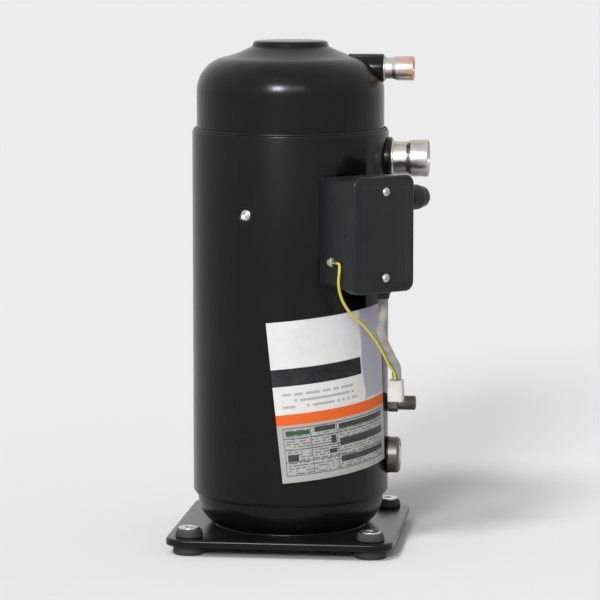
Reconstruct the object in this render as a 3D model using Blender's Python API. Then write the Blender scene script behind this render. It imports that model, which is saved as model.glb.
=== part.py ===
"""Hermetic scroll compressor with its motor, shaft, scroll set and terminal box.

The shaft axis is Z. The origin is on that axis, at the underside of the base
plate's centre pad. Front is -Y, and the pipe stubs point to +X. Azimuths run
from the front towards +X. Run it in Blender: it builds one object per piece.
"""
import math

import bmesh
import bpy
from mathutils import Matrix, Vector

for old in list(bpy.data.objects):
    bpy.data.objects.remove(old, do_unlink=True)

# ---------------------------------------------------------------- driving dimensions (metres)
GAP = 0.0003                 # left between two pieces that touch or slide
SINK = 0.0005                # how far a fused piece runs into the piece that carries it

# Shell, drawn from sheet steel
shell_radius = 0.1035
shell_wall = 0.0045
cap_insert = 0.008           # how deep the top cap's skirt sits in the shell
cap_skirt = 0.041            # straight skirt above the shell's rim
cap_shoulder = 0.036         # radius of the top cap's shoulder
cap_shoulder_turn = 78.0     # degrees of the shoulder's arc
boss_radius = 0.040          # raised disc in the middle of the top cap
boss_height = 0.008
dome_rise = 0.010            # from the shoulder's end up to the raised disc
bottom_skirt = 0.020         # bottom cap's skirt inside the shell
bottom_corner = 0.034
bottom_drop = 0.0057         # bottom cap's straight length below the shell's rim
boss_fillet = 0.003
boss_edge = 0.002
shell_above_thrust = 0.079   # shell's rim above the scroll set's thrust face

# Base plate and feet
plate_wall = 0.004
plate_ledge = 0.0155         # plate's reach past the shell, in front and at the sides
plate_corner = 0.022
plate_lift = 0.004           # the outer field stands this much above the centre pad
plate_skirt_low = 0.0006
pad_margin = 0.0103          # centre pad's reach past the bottom cap's flat
pad_ramp = 0.008
foot_inset = 0.024           # foot's axis in from the plate's edge
foot_drop = 0.010            # rubber foot's reach below the centre pad
foot_radius = 0.017
foot_neck = 0.009
foot_top = 0.0075
foot_edge = 0.002
sleeve_radius = 0.006
sleeve_bore = 0.0043
sleeve_flange = 0.011
sleeve_flange_wall = 0.0018
sleeve_lift = 0.001          # sleeve's lower end above the rubber's

# Pipe stubs, both along +X
suction_above_thrust = 0.050
suction_radius = 0.0175
suction_wall = 0.0020
suction_length = 0.0425      # stub's reach out from the shell
suction_inset = 0.002        # and in past the shell's inner face
suction_collar = 0.022
suction_collar_out = 0.0045
discharge_above_rim = 0.065
discharge_radius = 0.0111
discharge_wall = 0.0016
discharge_straight = 0.0130  # from the collar to the socket's foot
discharge_collar = 0.0150
discharge_collar_out = 0.0003
socket_depth = 0.018         # bell that takes the connecting pipe

# Oil fittings, both along +X
glass_z = 0.082
glass_radius = 0.0120
glass_bore = 0.0090
glass_wall = 0.0040
glass_body_radius = 0.0190
glass_body_reach = 0.0130
glass_seat = 0.0085
glass_edge = 0.002
lens_crown = 0.0008
valve_z = 0.138
valve_stem_radius = 0.0060
valve_hex_radius = 0.0100
valve_hex_depth = 0.0110
valve_neck_radius = 0.0050
valve_reach = 0.0250
valve_bore = 0.0030
core_radius = 0.0012
core_seat_radius = 0.0024
core_length = 0.0180
core_travel = 0.0015
valve_cap_radius = 0.0075
valve_cap_wall = 0.0018
valve_cap_edge = 0.0012
valve_cap_space = 0.003      # room in the cap past the valve's end

# Plug welds that hold the bearing housing
weld_azimuth = -20.0
weld_count = 3
weld_below_thrust = 0.003
weld_radius = 0.0090
weld_depth = 0.0018
weld_bead = 0.0013           # bead's height above the dimple's floor

# Terminal box
box_azimuth = 45.0
box_below_rim = 0.099
box_width = 0.074
box_height = 0.114
box_corner = 0.007
box_wall = 0.0025
box_floor = 0.0035           # base's back wall in front of the shell
box_reach = 0.0445           # open rim of the base, out from the shell
cover_lap = 0.010
cover_wall = 0.0026
cover_face = 0.0030
cover_space = 0.0045         # room between the base's rim and the cover's face
cover_panel_inset = 0.009
cover_panel_rise = 0.0012
cover_screw_inset = 0.013    # screw's axis in from the base's ends
cover_screw_radius = 0.0020
cover_screw_head = 0.0045
cover_screw_head_height = 0.0026
cover_screw_length = 0.022
cover_boss_radius = 0.0048
terminal_drop = 0.016        # terminal's centre below the box's centre
terminal_radius = 0.0195
terminal_wall = 0.0040
terminal_pin_circle = 0.0085
terminal_pin_radius = 0.0016
terminal_pin_in = 0.012
terminal_pin_out = 0.024
terminal_rim = 0.002
terminal_rim_wall = 0.003
block_size = 0.036
block_depth = 0.011
block_corner = 0.004
gland_below_top = 0.024      # side gland's axis below the base's top
gland_radius = 0.0105
gland_hex = 0.0140
gland_length = 0.042
gland_edge = 0.001
gland_lining = 0.002
gland_bore = 0.0065
gland_setback = 0.0235       # gland axis out from the shell
cable_setback = 0.0215       # bottom outlet's axis, out from the shell
cable_side = 0.024           # and to the right of the box's middle
cable_radius = 0.0050
outlet_radius = 0.0085
outlet_length = 0.0130
earth_drop = 0.029
earth_setback = 0.0125
earth_screw_radius = 0.0022
earth_head_radius = 0.0042
earth_head_height = 0.0028
earth_tail = 0.002
lug_radius = 0.0050
lug_wall = 0.0010
lug_barrel = 0.0060
lug_barrel_wall = 0.0006
earth_lead_radius = 0.0015
connector_drop = 0.178       # connector's lower end below the box's middle
connector_height = 0.0217
connector_width = 0.016
connector_length = 0.021
connector_corner = 0.002
connector_mouth = 0.009

# Rating label
label_azimuth = 36.0
label_z = 0.158
label_width = 0.140
label_height = 0.168
label_turn = 6.0
label_wall = 0.0004

# Scroll set
involute_base = 0.0028
wrap_wall = 0.0042
flank_gap = 0.00035
wrap_start = 1.0 * math.pi
wrap_turns = 3.0
wrap_steps = 30              # points in each turn of a wrap
wrap_height = 0.0350
orbit_plate_wall = 0.0097
orbit_plate_radius = 0.0660
orbit_hub_radius = 0.0255
orbit_hub_drop = 0.0220
fixed_base_wall = 0.0167
fixed_wall = 0.0045
fixed_flange_wall = 0.0115
flange_clearance = 0.007     # from the scroll's flange to the shell
discharge_port = 0.0060
inlet_width = 0.040
inlet_margin = 0.006
orbit_clearance = 0.0015     # left round the orbiting plate at full throw
scroll_bolt_count = 6
scroll_bolt_radius = 0.0060
scroll_bolt_height = 0.0060
seal_inner = 0.0245
seal_outer = 0.0440
seal_height = 0.0113
seal_pocket_depth = 0.0070
seal_lift = 0.0015
seal_body = 0.008
seal_step = 0.006
seal_lip = 0.004

# Oldham ring
oldham_wall = 0.0060
oldham_width = 0.0182
key_width = 0.010
key_inner = 0.0580
key_outer = 0.0690
key_low = 0.0050
key_high = 0.0092

# Main bearing housing
head_room = 0.100            # from the motor's stack up to the thrust face
thrust_radius = 0.050
oldham_seat_drop = 0.012
housing_rim_rise = 0.008     # rim above the thrust face
housing_depth = 0.063        # hub's lower end below the thrust face
housing_hub_radius = 0.034
hub_well_radius = 0.033
hub_well_depth = 0.026
housing_skirt_in = 0.006
housing_flare = 0.016
housing_hub_straight = 0.020
housing_floor = 0.010
housing_flange = 0.008
lug_width = 0.034
lug_height = 0.018

# Shaft and bearings
journal_radius = 0.0200
bush_wall = 0.0025
lower_journal_radius = 0.0117
shaft_radius = 0.0170
shaft_low = 0.060
shaft_step_z = 0.098
pin_radius = 0.0100
pin_short = 0.003            # pin's top below the thrust face
drive_bush_wall = 0.0044
drive_bearing_wall = 0.0030
oil_bore = 0.0025
shaft_chamfer = 0.001
pickup_radius = 0.0090
pickup_low = 0.022
pickup_taper = 0.012
pickup_wall = 0.0025
lower_bearing_low = 0.070
lower_bearing_high = 0.096
lower_hub_radius = 0.020
bracket_z = 0.076
bracket_wall = 0.0060
bracket_arm_width = 0.026
bracket_foot_width = 0.034
bracket_foot_rise = 0.008
bracket_foot_wall = 0.006
bracket_root = 0.002         # how far an arm runs into the hub

# Motor
stack_low = 0.128
stack_high = 0.248
air_gap = 0.0008
rotor_radius = 0.0496
slot_count = 24
slot_width = 0.0060
slot_mouth = 0.0024
tooth_tip = 0.0028
slot_depth = 0.0250
tooth_round = 0.0008
stator_flats = 6
stator_flat_depth = 0.0045
winding_height = 0.0330
winding_inner = 0.0540
winding_outer = 0.0870
end_ring_inner = 0.034
end_ring_outer = 0.048
end_ring_height = 0.0080
counterweight_inner = 0.0215
counterweight_outer = 0.0460
counterweight_height = 0.0135
counterweight_short = 3.0    # degrees left off each end of the half ring

# Separator plate and check valve
separator_wall = 0.0040
separator_rise = 0.0075
separator_hub = 0.050
separator_slope = 0.062
check_port = 0.0080
check_flange = 0.0200
check_disc_radius = 0.0105
check_disc_wall = 0.0020
check_travel = 0.0060
check_post = 0.0035
check_seat_wall = 0.003
check_roof_wall = 0.002
check_disc_room = 0.0025     # port's edge past the disc

# Facets round each class of piece
SHELL_STEPS = 48
BODY_STEPS = 24
SMALL_STEPS = 20
FOOT_STEPS = 14
TINY_STEPS = 8

# ---------------------------------------------------------------- derived sizes and places
shell_inner = shell_radius - shell_wall
cap_radius = shell_inner - GAP
cap_inner = cap_radius - shell_wall
thrust_z = stack_high + head_room
shell_high = thrust_z + shell_above_thrust
cap_low = shell_high - cap_insert
pad_top = plate_wall
pad_radius = cap_radius - bottom_corner + pad_margin
plate_half = shell_radius + plate_ledge
foot_offset = plate_half - foot_inset
suction_z = thrust_z + suction_above_thrust
suction_reach = shell_radius + suction_length
discharge_z = shell_high + discharge_above_rim
discharge_collar_reach = cap_radius + discharge_collar_out
discharge_reach = discharge_collar_reach + discharge_straight + socket_depth
weld_z = thrust_z - weld_below_thrust
box_z = shell_high - box_below_rim
cover_screw_z = 0.5 * box_height - cover_screw_inset
gland_z = 0.5 * box_height - gland_below_top
connector_low = box_z - connector_drop
connector_high = connector_low + connector_height
housing_rim_z = thrust_z + housing_rim_rise
housing_low = thrust_z - housing_depth
hub_well_z = thrust_z - hub_well_depth
pin_top = thrust_z - pin_short
fixed_flange_radius = shell_inner - flange_clearance
shell_low = pad_top + GAP + bottom_corner + bottom_drop
crank_throw = math.pi * involute_base - wrap_wall - flank_gap
wrap_half_angle = wrap_wall / (2.0 * involute_base)
wrap_end = wrap_start + 2.0 * math.pi * wrap_turns
orbit_plate_low = thrust_z + GAP
orbit_plate_high = orbit_plate_low + orbit_plate_wall
wrap_top = orbit_plate_high + wrap_height
fixed_base_low = wrap_top + GAP
fixed_top = fixed_base_low + fixed_base_wall
fixed_low = housing_rim_z + GAP
fixed_bore = orbit_plate_radius + crank_throw + orbit_clearance
fixed_outer = fixed_bore + fixed_wall
oldham_seat_z = thrust_z - oldham_seat_drop
oldham_inner = thrust_radius + crank_throw + 2.0 * GAP
oldham_outer = oldham_inner + oldham_width
housing_bore = oldham_outer + crank_throw + 2.0 * GAP
seal_pocket_z = fixed_top - seal_pocket_depth
separator_low = seal_pocket_z + seal_height + seal_lift + 2.0 * GAP
stator_bore = rotor_radius + air_gap
main_bush_outer = journal_radius + GAP + bush_wall
lower_bush_outer = lower_journal_radius + GAP + bush_wall
drive_bush_outer = pin_radius + GAP + drive_bush_wall
drive_bearing_outer = drive_bush_outer + GAP + drive_bearing_wall
pin_axis = Vector((0.0, crank_throw, 0.0))

# ---------------------------------------------------------------- finishes: colour, roughness, metallic
BLACK_PAINT = ((0.020, 0.021, 0.022), 0.38, 0.0)
BLACK_PLASTIC = ((0.026, 0.027, 0.029), 0.55, 0.0)
STEEL = ((0.50, 0.50, 0.49), 0.32, 1.0)
ZINC = ((0.62, 0.62, 0.60), 0.30, 1.0)
CAST_IRON = ((0.20, 0.20, 0.20), 0.60, 0.9)
LAMINATION = ((0.30, 0.31, 0.33), 0.50, 0.9)
ALUMINIUM = ((0.74, 0.75, 0.76), 0.38, 1.0)
BRONZE = ((0.58, 0.39, 0.18), 0.40, 1.0)
COPPER = ((0.70, 0.30, 0.16), 0.42, 0.9)
RUBBER = ((0.030, 0.030, 0.030), 0.80, 0.0)
LABEL_WHITE = ((0.80, 0.80, 0.80), 0.45, 0.0)
GREY_SLEEVE = ((0.52, 0.51, 0.46), 0.60, 0.0)
YELLOW_GREEN = ((0.70, 0.66, 0.06), 0.45, 0.0)
CONNECTOR_IVORY = ((0.74, 0.72, 0.62), 0.50, 0.0)
SIGHT_GLASS = ((0.40, 0.42, 0.36), 0.08, 0.0)
BLOCK_BROWN = ((0.12, 0.09, 0.07), 0.50, 0.0)


# ---------------------------------------------------------------- modelling helpers
def toward(azimuth):
    """Turn that carries +X to the given azimuth, in degrees from the front towards +X."""
    return Matrix.Rotation(math.radians(azimuth - 90.0), 4, "Z")


def lying(reach=0.0, height=0.0, side=0.0):
    """Placement that lays a piece turned about Z along +X, its z = 0 at x = reach."""
    return Matrix.Translation((reach, side, height)) @ Matrix.Rotation(math.pi / 2.0, 4, "Y")


def painted(name, finish):
    colour, roughness, metallic = finish
    material = bpy.data.materials.new(name)
    material.use_nodes = True
    shader = material.node_tree.nodes["Principled BSDF"]
    shader.inputs["Base Color"].default_value = (*colour, 1.0)
    shader.inputs["Roughness"].default_value = roughness
    shader.inputs["Metallic"].default_value = metallic
    return material


def piece(name, shape, finish, placement=None, origin=None):
    """Make one named object from a bmesh; origin moves its pivot without moving its shape."""
    if placement is not None:
        shape.transform(placement)
    if origin is not None:
        shape.transform(Matrix.Translation(-Vector(origin)))
    bmesh.ops.recalc_face_normals(shape, faces=shape.faces)
    mesh = bpy.data.meshes.new(name)
    shape.to_mesh(mesh)
    shape.free()
    mesh.shade_smooth()
    mesh.set_sharp_from_angle(angle=math.radians(32.0))
    made = bpy.data.objects.new(name, mesh)
    if origin is not None:
        made.location = origin
    bpy.context.scene.collection.objects.link(made)
    made.data.materials.append(painted(name, finish))
    return made


def tool(name, shape, placement=None, origin=None):
    """A shape that only cuts or adds to a piece."""
    made = piece(name, shape, STEEL, placement, origin)
    made.hide_render = True
    made.display_type = "WIRE"
    return made


def change(target, operation, name, shape, placement=None):
    step = target.modifiers.new(name, "BOOLEAN")
    step.operation = operation
    step.solver = "EXACT"
    step.object = tool(target.name + "_" + name, shape, placement)


def cut(target, name, shape, placement=None):
    change(target, "DIFFERENCE", name, shape, placement)


def fuse(target, name, shape, placement=None):
    change(target, "UNION", name, shape, placement)


def skin(shape, low, high):
    """Faces between two rows of vertices; a row of one vertex is a pole."""
    count = max(len(low), len(high))
    for i in range(count):
        j = (i + 1) % count
        corners = [low[i], low[j]] if len(low) > 1 else [low[0]]
        corners += [high[j], high[i]] if len(high) > 1 else [high[0]]
        shape.faces.new(corners)


def lofted(rows, loop=False):
    """Skin rows of points that run round a form; flat faces close an open stack."""
    shape = bmesh.new()
    rings = [[shape.verts.new(point) for point in row] for row in rows]
    for low, high in zip(rings, rings[1:]):
        skin(shape, low, high)
    if loop:
        skin(shape, rings[-1], rings[0])
    else:
        for ring in (rings[0], rings[-1]):
            if len(ring) > 1:
                shape.faces.new(ring)
    return shape


def circle(radius, height, steps, offset=0.5, centre=(0.0, 0.0)):
    if radius < 1e-7:
        return [(centre[0], centre[1], height)]
    turn = 2.0 * math.pi / steps
    return [
        (centre[0] + radius * math.cos(turn * (i + offset)),
         centre[1] + radius * math.sin(turn * (i + offset)), height)
        for i in range(steps)
    ]


def turned(profile, steps=BODY_STEPS, loop=False):
    """Revolve a profile of (radius, height) points about Z."""
    return lofted([circle(radius, height, steps) for radius, height in profile], loop)


def tube(inner, outer, low, high, steps=BODY_STEPS):
    return turned([(inner, low), (outer, low), (outer, high), (inner, high)], steps, loop=True)


def rod(radius, low, high, steps=SMALL_STEPS):
    return turned([(radius, low), (radius, high)], steps)


def arc(centre, radius, start, end, count):
    """Points from one angle to another, in degrees, both ends kept."""
    angles = [math.radians(start + (end - start) * i / count) for i in range(count + 1)]
    return [(centre[0] + radius * math.cos(a), centre[1] + radius * math.sin(a)) for a in angles]


def rounded(half_x, half_y, radius, per_corner=4):
    """Outline of a rounded rectangle, anticlockwise."""
    points = []
    for quarter, (sx, sy) in enumerate(((1, 1), (-1, 1), (-1, -1), (1, -1))):
        centre = (sx * (half_x - radius), sy * (half_y - radius))
        points += arc(centre, radius, 90.0 * quarter, 90.0 * quarter + 90.0, per_corner)
    return points


def prism(outline, low, high):
    """Extrude a flat outline along Z."""
    return lofted([[(x, y, z) for x, y in outline] for z in (low, high)])


def block(low, high):
    (x0, y0, z0), (x1, y1, z1) = low, high
    return prism([(x0, y0), (x1, y0), (x1, y1), (x0, y1)], z0, z1)


def holed(outer, inner, low, high):
    """Extrude the flat region between an outer and an inner outline along Z."""
    shape = bmesh.new()
    edges = []
    for outline in (outer, inner):
        verts = [shape.verts.new((x, y, low)) for x, y in outline]
        edges += [shape.edges.new((a, b)) for a, b in zip(verts, verts[1:] + verts[:1])]
    filled = bmesh.ops.triangle_fill(shape, edges=edges, use_beauty=True)
    faces = [item for item in filled["geom"] if isinstance(item, bmesh.types.BMFace)]
    grown = bmesh.ops.extrude_face_region(shape, geom=faces)
    top = [item for item in grown["geom"] if isinstance(item, bmesh.types.BMVert)]
    bmesh.ops.translate(shape, verts=top, vec=(0.0, 0.0, high - low))
    return shape


def hexagon(radius, low, high):
    return turned([(radius, low), (radius, high)], 6)


# ---------------------------------------------------------------- shell, caps and feet
def cap_outline(radius, shoulder, low, count):
    """Outer or inner side of the top cap, from its skirt up to the shoulder's end."""
    shoulder_z = shell_high + cap_skirt
    centre = (cap_radius - cap_shoulder, shoulder_z)
    return [(radius, low)] + arc(centre, shoulder, 0.0, cap_shoulder_turn, count)


def make_shell():
    shell = piece("shell_tube", tube(shell_inner, shell_radius, shell_low, shell_high, SHELL_STEPS),
                  BLACK_PAINT)
    collar = tube(suction_radius + GAP, suction_collar, shell_radius - suction_collar_out,
                  shell_radius + suction_collar_out, SMALL_STEPS)
    fuse(shell, "suction_collar", collar, lying(height=suction_z))
    for name, radius, placement in (
        ("suction_hole", suction_radius + GAP, lying(height=suction_z)),
        ("glass_hole", glass_radius + GAP, lying(height=glass_z)),
        ("valve_hole", valve_stem_radius + GAP, lying(height=valve_z)),
        ("terminal_hole", terminal_radius + GAP,
         toward(box_azimuth) @ lying(height=box_z - terminal_drop)),
    ):
        through = rod(radius, shell_inner - 0.5 * shell_radius, 1.5 * shell_radius)
        cut(shell, name, through, placement)
    for i in range(weld_count):
        turn = toward(weld_azimuth + 360.0 * i / weld_count)
        face = shell_radius - weld_depth
        crater = turned([(weld_radius * 0.75, face), (weld_radius, shell_radius + weld_depth)],
                        TINY_STEPS)
        cut(shell, f"plug_weld_{i + 1}", crater, turn @ lying(height=weld_z))
        bead = turned([(weld_radius * 0.55, face - SINK), (weld_radius * 0.45, face + 0.6 * weld_bead),
                       (weld_radius * 0.2, face + weld_bead)], TINY_STEPS)
        fuse(shell, f"plug_bead_{i + 1}", bead, turn @ lying(height=weld_z))
    return shell


def make_top_cap():
    outer = cap_outline(cap_radius, cap_shoulder, cap_low, 6)
    dome_z = outer[-1][1] + dome_rise
    boss_top = dome_z + boss_height
    outer += [(boss_radius + boss_fillet, dome_z), (boss_radius, dome_z + boss_edge),
              (boss_radius - boss_edge, boss_top - 0.5 * boss_edge), (0.0, boss_top)]
    inner = cap_outline(cap_inner, cap_shoulder - shell_wall, cap_low, 2)
    inner += [(boss_radius + boss_fillet, dome_z - shell_wall),
              (boss_radius - shell_wall, boss_top - shell_wall), (0.0, boss_top - shell_wall)]
    rows = [circle(r, z, SHELL_STEPS) for r, z in outer + list(reversed(inner))]
    cap = piece("top_cap", closed_dish(rows), BLACK_PAINT)
    collar = rod(discharge_collar, cap_inner - cap_shoulder + shell_wall, discharge_collar_reach)
    fuse(cap, "discharge_collar", collar, lying(height=discharge_z))
    bore = rod(discharge_radius + GAP, 0.5 * cap_radius, 1.5 * cap_radius)
    cut(cap, "discharge_bore", bore, lying(height=discharge_z))
    trim = turned([(0.0, cap_low)] + inner, SHELL_STEPS)
    cut(cap, "collar_trim", trim)
    return cap


def closed_dish(rows):
    """A dish whose outer side ends in a pole and whose inner side starts in one."""
    shape = bmesh.new()
    rings = [[shape.verts.new(point) for point in row] for row in rows]
    pole = next(i for i, ring in enumerate(rings) if len(ring) == 1)
    for low, high in zip(rings[:pole], rings[1:pole + 1]):
        skin(shape, low, high)
    for low, high in zip(rings[pole + 1:], rings[pole + 2:]):
        skin(shape, low, high)
    skin(shape, rings[-1], rings[0])
    return shape


def make_bottom_cap():
    floor_z = pad_top + GAP
    corner_z = floor_z + bottom_corner
    centre = (cap_radius - bottom_corner, corner_z)
    top_z = shell_low + bottom_skirt
    outer = [(0.0, floor_z)] + arc(centre, bottom_corner, -90.0, 0.0, 4) + [(cap_radius, top_z)]
    inner = [(cap_inner, top_z)] + arc(centre, bottom_corner - shell_wall, 0.0, -90.0, 2)
    inner += [(0.0, floor_z + shell_wall)]
    rows = [circle(r, z, SHELL_STEPS) for r, z in outer + inner]
    shape = bmesh.new()
    rings = [[shape.verts.new(point) for point in row] for row in rows]
    for low, high in zip(rings, rings[1:]):
        skin(shape, low, high)
    return piece("bottom_cap", shape, BLACK_PAINT)


def make_base_plate():
    per_corner = 7
    count = 4 * (per_corner + 1)

    def square(inset, height):
        half = plate_half - inset
        outline = rounded(half, half, plate_corner - inset, per_corner)
        return [(x, y, height) for x, y in outline]

    def ring(radius, height):
        return circle(radius, height, count)

    field_low = plate_lift
    field_top = plate_lift + plate_wall
    bend = 0.6 * plate_wall
    rows = [
        [(0.0, 0.0, pad_top)], ring(pad_radius, pad_top), ring(pad_radius + pad_ramp, field_top),
        square(bend, field_top), square(0.0, field_top - bend),
        square(0.0, plate_skirt_low), square(plate_wall, plate_skirt_low), square(plate_wall, field_low),
        ring(pad_radius + pad_ramp, field_low), ring(pad_radius, 0.0), [(0.0, 0.0, 0.0)],
    ]
    plate = piece("base_plate", lofted(rows), BLACK_PAINT)
    for name, x, y in foot_places():
        hole = rod(foot_neck + GAP, -foot_drop, field_top + foot_drop)
        cut(plate, name + "_hole", hole, Matrix.Translation((x, y, 0.0)))
    return plate


def foot_places():
    names = ("front_right", "rear_right", "rear_left", "front_left")
    signs = ((1, -1), (1, 1), (-1, 1), (-1, -1))
    return [(name, sx * foot_offset, sy * foot_offset) for name, (sx, sy) in zip(names, signs)]


def make_feet():
    under = plate_lift - GAP
    over = plate_lift + plate_wall + GAP
    bore = sleeve_radius + GAP
    rubber = [
        (bore, -foot_drop), (foot_radius - foot_edge, -foot_drop),
        (foot_radius, -foot_drop + 1.5 * foot_edge), (foot_radius - 0.75 * foot_edge, under),
        (foot_neck, under), (foot_neck, over), (foot_radius - foot_edge, over),
        (foot_radius - 2.0 * foot_edge, over + foot_top), (bore, over + foot_top),
    ]
    flange_z = over + foot_top + GAP
    sleeve = [
        (sleeve_bore, -foot_drop + sleeve_lift), (sleeve_radius, -foot_drop + sleeve_lift),
        (sleeve_radius, flange_z),
        (sleeve_flange, flange_z), (sleeve_flange, flange_z + sleeve_flange_wall),
        (sleeve_bore, flange_z + sleeve_flange_wall),
    ]
    for name, x, y in foot_places():
        place = Matrix.Translation((x, y, 0.0))
        piece(f"grommet_{name}", turned(rubber, FOOT_STEPS, loop=True), RUBBER, place)
        piece(f"foot_sleeve_{name}", turned(sleeve, FOOT_STEPS, loop=True), ZINC, place)


# ---------------------------------------------------------------- pipe stubs and oil fittings
def socketed(radius, wall, start, reach):
    """Tube along +X whose outer end opens into a socket for the connecting pipe."""
    bell = radius + wall
    mouth = reach - socket_depth
    flare = 0.25 * socket_depth
    return turned([
        (radius - wall, start), (radius, start), (radius, mouth - flare), (bell, mouth), (bell, reach),
        (radius + GAP, reach), (radius + GAP, mouth), (radius - wall, mouth - flare),
    ], SMALL_STEPS, loop=True)


def make_stubs():
    piece("suction_stub", socketed(suction_radius, suction_wall, shell_inner - suction_inset,
                                    suction_reach), STEEL, lying(height=suction_z))
    piece("discharge_stub", socketed(discharge_radius, discharge_wall, 0.8 * cap_radius, discharge_reach),
          STEEL, lying(height=discharge_z))


def make_oil_fittings():
    back = shell_radius + GAP
    front = back + glass_body_reach
    seat = front - glass_seat * 0.5
    body = [
        (glass_bore, shell_inner), (glass_radius, shell_inner), (glass_radius, back),
        (glass_body_radius, back), (glass_body_radius, front - glass_edge),
        (glass_body_radius - glass_edge, front),
        (glass_radius + GAP, front), (glass_radius + GAP, seat), (glass_bore, seat),
    ]
    piece("sight_glass_body", turned(body, SMALL_STEPS, loop=True), STEEL, lying(height=glass_z))
    lens = [
        (0.0, seat + GAP), (glass_radius, seat + GAP), (glass_radius, front - lens_crown),
        (glass_radius * 0.7, front + 0.5 * lens_crown), (0.0, front + lens_crown),
    ]
    piece("sight_glass_lens", turned(lens, SMALL_STEPS), SIGHT_GLASS, lying(height=glass_z))

    hex_end = back + valve_hex_depth
    end = back + valve_reach
    stem = [
        (valve_bore, shell_inner), (valve_stem_radius, shell_inner), (valve_stem_radius, hex_end - SINK),
        (valve_neck_radius, hex_end - SINK), (valve_neck_radius, end), (valve_bore, end),
    ]
    valve = piece("oil_service_valve", turned(stem, SMALL_STEPS, loop=True), STEEL, lying(height=valve_z))
    nut = tool("oil_service_valve_nut", hexagon(valve_hex_radius, back, hex_end), lying(height=valve_z))
    cut(nut, "bore", rod(valve_neck_radius - SINK, shell_inner, end), lying(height=valve_z))
    step = valve.modifiers.new("nut", "BOOLEAN")
    step.operation = "UNION"
    step.object = nut
    core_end = end - GAP
    core = [
        (0.0, core_end - core_length), (core_seat_radius, core_end - core_length),
        (core_seat_radius, core_end - 0.7 * core_length), (core_radius, core_end - 0.6 * core_length),
        (core_radius, core_end), (0.0, core_end),
    ]
    piece("valve_core", turned(core, TINY_STEPS), BRONZE, lying(height=valve_z))
    cap_end = end + valve_cap_space + valve_cap_wall
    cap = [
        (valve_neck_radius + GAP, hex_end + GAP), (valve_cap_radius, hex_end + GAP),
        (valve_cap_radius, cap_end - valve_cap_edge), (valve_cap_radius - valve_cap_edge, cap_end),
        (0.0, cap_end),
        (0.0, cap_end - valve_cap_wall), (valve_neck_radius + GAP, cap_end - valve_cap_wall),
    ]
    rows = [circle(r, z, SMALL_STEPS) for r, z in cap]
    piece("valve_cap", closed_dish(rows), STEEL, lying(height=valve_z))


# ---------------------------------------------------------------- terminal box
def box_frame():
    """Local frame of the terminal box: +X out of the shell, +Y to its right, origin at mid-height."""
    return toward(box_azimuth) @ Matrix.Translation((0.0, 0.0, box_z))


def slab(half_y, half_z, radius, low, high):
    """Rounded rectangle across the box, extruded along its +X."""
    upright = Matrix(((0, 0, 1, 0), (1, 0, 0, 0), (0, 1, 0, 0), (0, 0, 0, 1)))
    shape = prism(rounded(half_y, half_z, radius), low, high)
    shape.transform(upright)
    return shape


def outward(reach=0.0, side=0.0, height=0.0):
    return box_frame() @ lying(reach, height, side)


def sideways(reach, side, height):
    """Placement whose local Z is the box's +Y, starting at the given side."""
    turn = Matrix.Rotation(-math.pi / 2.0, 4, "X")
    return box_frame() @ Matrix.Translation((reach, side, height)) @ turn


def make_terminal_box():
    half_y = 0.5 * box_width
    half_z = 0.5 * box_height
    floor = shell_radius + box_floor
    rim = shell_radius + box_reach
    place = box_frame()
    base = piece("terminal_box_base", slab(half_y, half_z, box_corner, 0.9 * shell_radius, rim),
                 BLACK_PLASTIC, place)
    pocket = slab(half_y - box_wall, half_z - box_wall, box_corner - box_wall, floor, rim + box_wall)
    cut(base, "pocket", pocket, place)
    boss_reach = rim - 0.4 * box_reach
    for i, height in enumerate((-cover_screw_z, cover_screw_z)):
        post = rod(cover_boss_radius, floor - SINK, rim - GAP, TINY_STEPS)
        fuse(base, f"boss_{i + 1}", post, outward(height=height))
        hole = rod(cover_screw_radius + GAP, rim - cover_screw_length, rim + box_wall, TINY_STEPS)
        cut(base, f"boss_hole_{i + 1}", hole, outward(height=height))
    seat = rod(shell_radius + GAP, -box_height, box_height, SHELL_STEPS)
    cut(base, "shell_seat", seat, Matrix.Translation((0.0, 0.0, box_z)))
    window = rod(terminal_radius + GAP, 0.5 * shell_radius, floor + box_wall)
    cut(base, "terminal_window", window, outward(height=-terminal_drop))
    outlet = rod(outlet_radius - box_wall + GAP, -box_wall * 2.0, box_wall * 2.0)
    down = Matrix.Translation((shell_radius + cable_setback, cable_side, -half_z))
    cut(base, "cable_outlet", outlet, place @ down)
    knockout = rod(gland_bore + GAP, -box_wall * 2.0, box_wall)
    cut(base, "gland_hole", knockout, sideways(shell_radius + gland_setback, half_y, gland_z))
    earth = rod(earth_screw_radius + GAP, -box_wall * 2.0, box_wall * 2.0, TINY_STEPS)
    cut(base, "earth_hole", earth, sideways(shell_radius + earth_setback, -half_y, -earth_drop))
    make_cover(half_y, half_z, rim, place)
    make_box_screws(rim, boss_reach)
    make_box_outlets(half_y, half_z, place)


def make_cover(half_y, half_z, rim, place):
    lip = GAP + cover_wall
    inside = rim + cover_space
    face = inside + cover_face
    low = rim - cover_lap
    inner_half = (half_y + GAP, half_z + GAP)
    cover = piece("terminal_box_cover", slab(half_y + lip, half_z + lip, box_corner + lip, low, face),
                  BLACK_PLASTIC, place)
    cavity = slab(*inner_half, box_corner + GAP, low - cover_wall, inside)
    cut(cover, "cavity", cavity, place)
    inset = cover_panel_inset
    panel = slab(half_y - inset, half_z - inset, box_corner, face - SINK, face + cover_panel_rise)
    fuse(cover, "panel", panel, place)
    for i, height in enumerate((-cover_screw_z, cover_screw_z)):
        hole = rod(cover_screw_radius + GAP, rim, face + inset, TINY_STEPS)
        cut(cover, f"screw_hole_{i + 1}", hole, outward(height=height))


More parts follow.
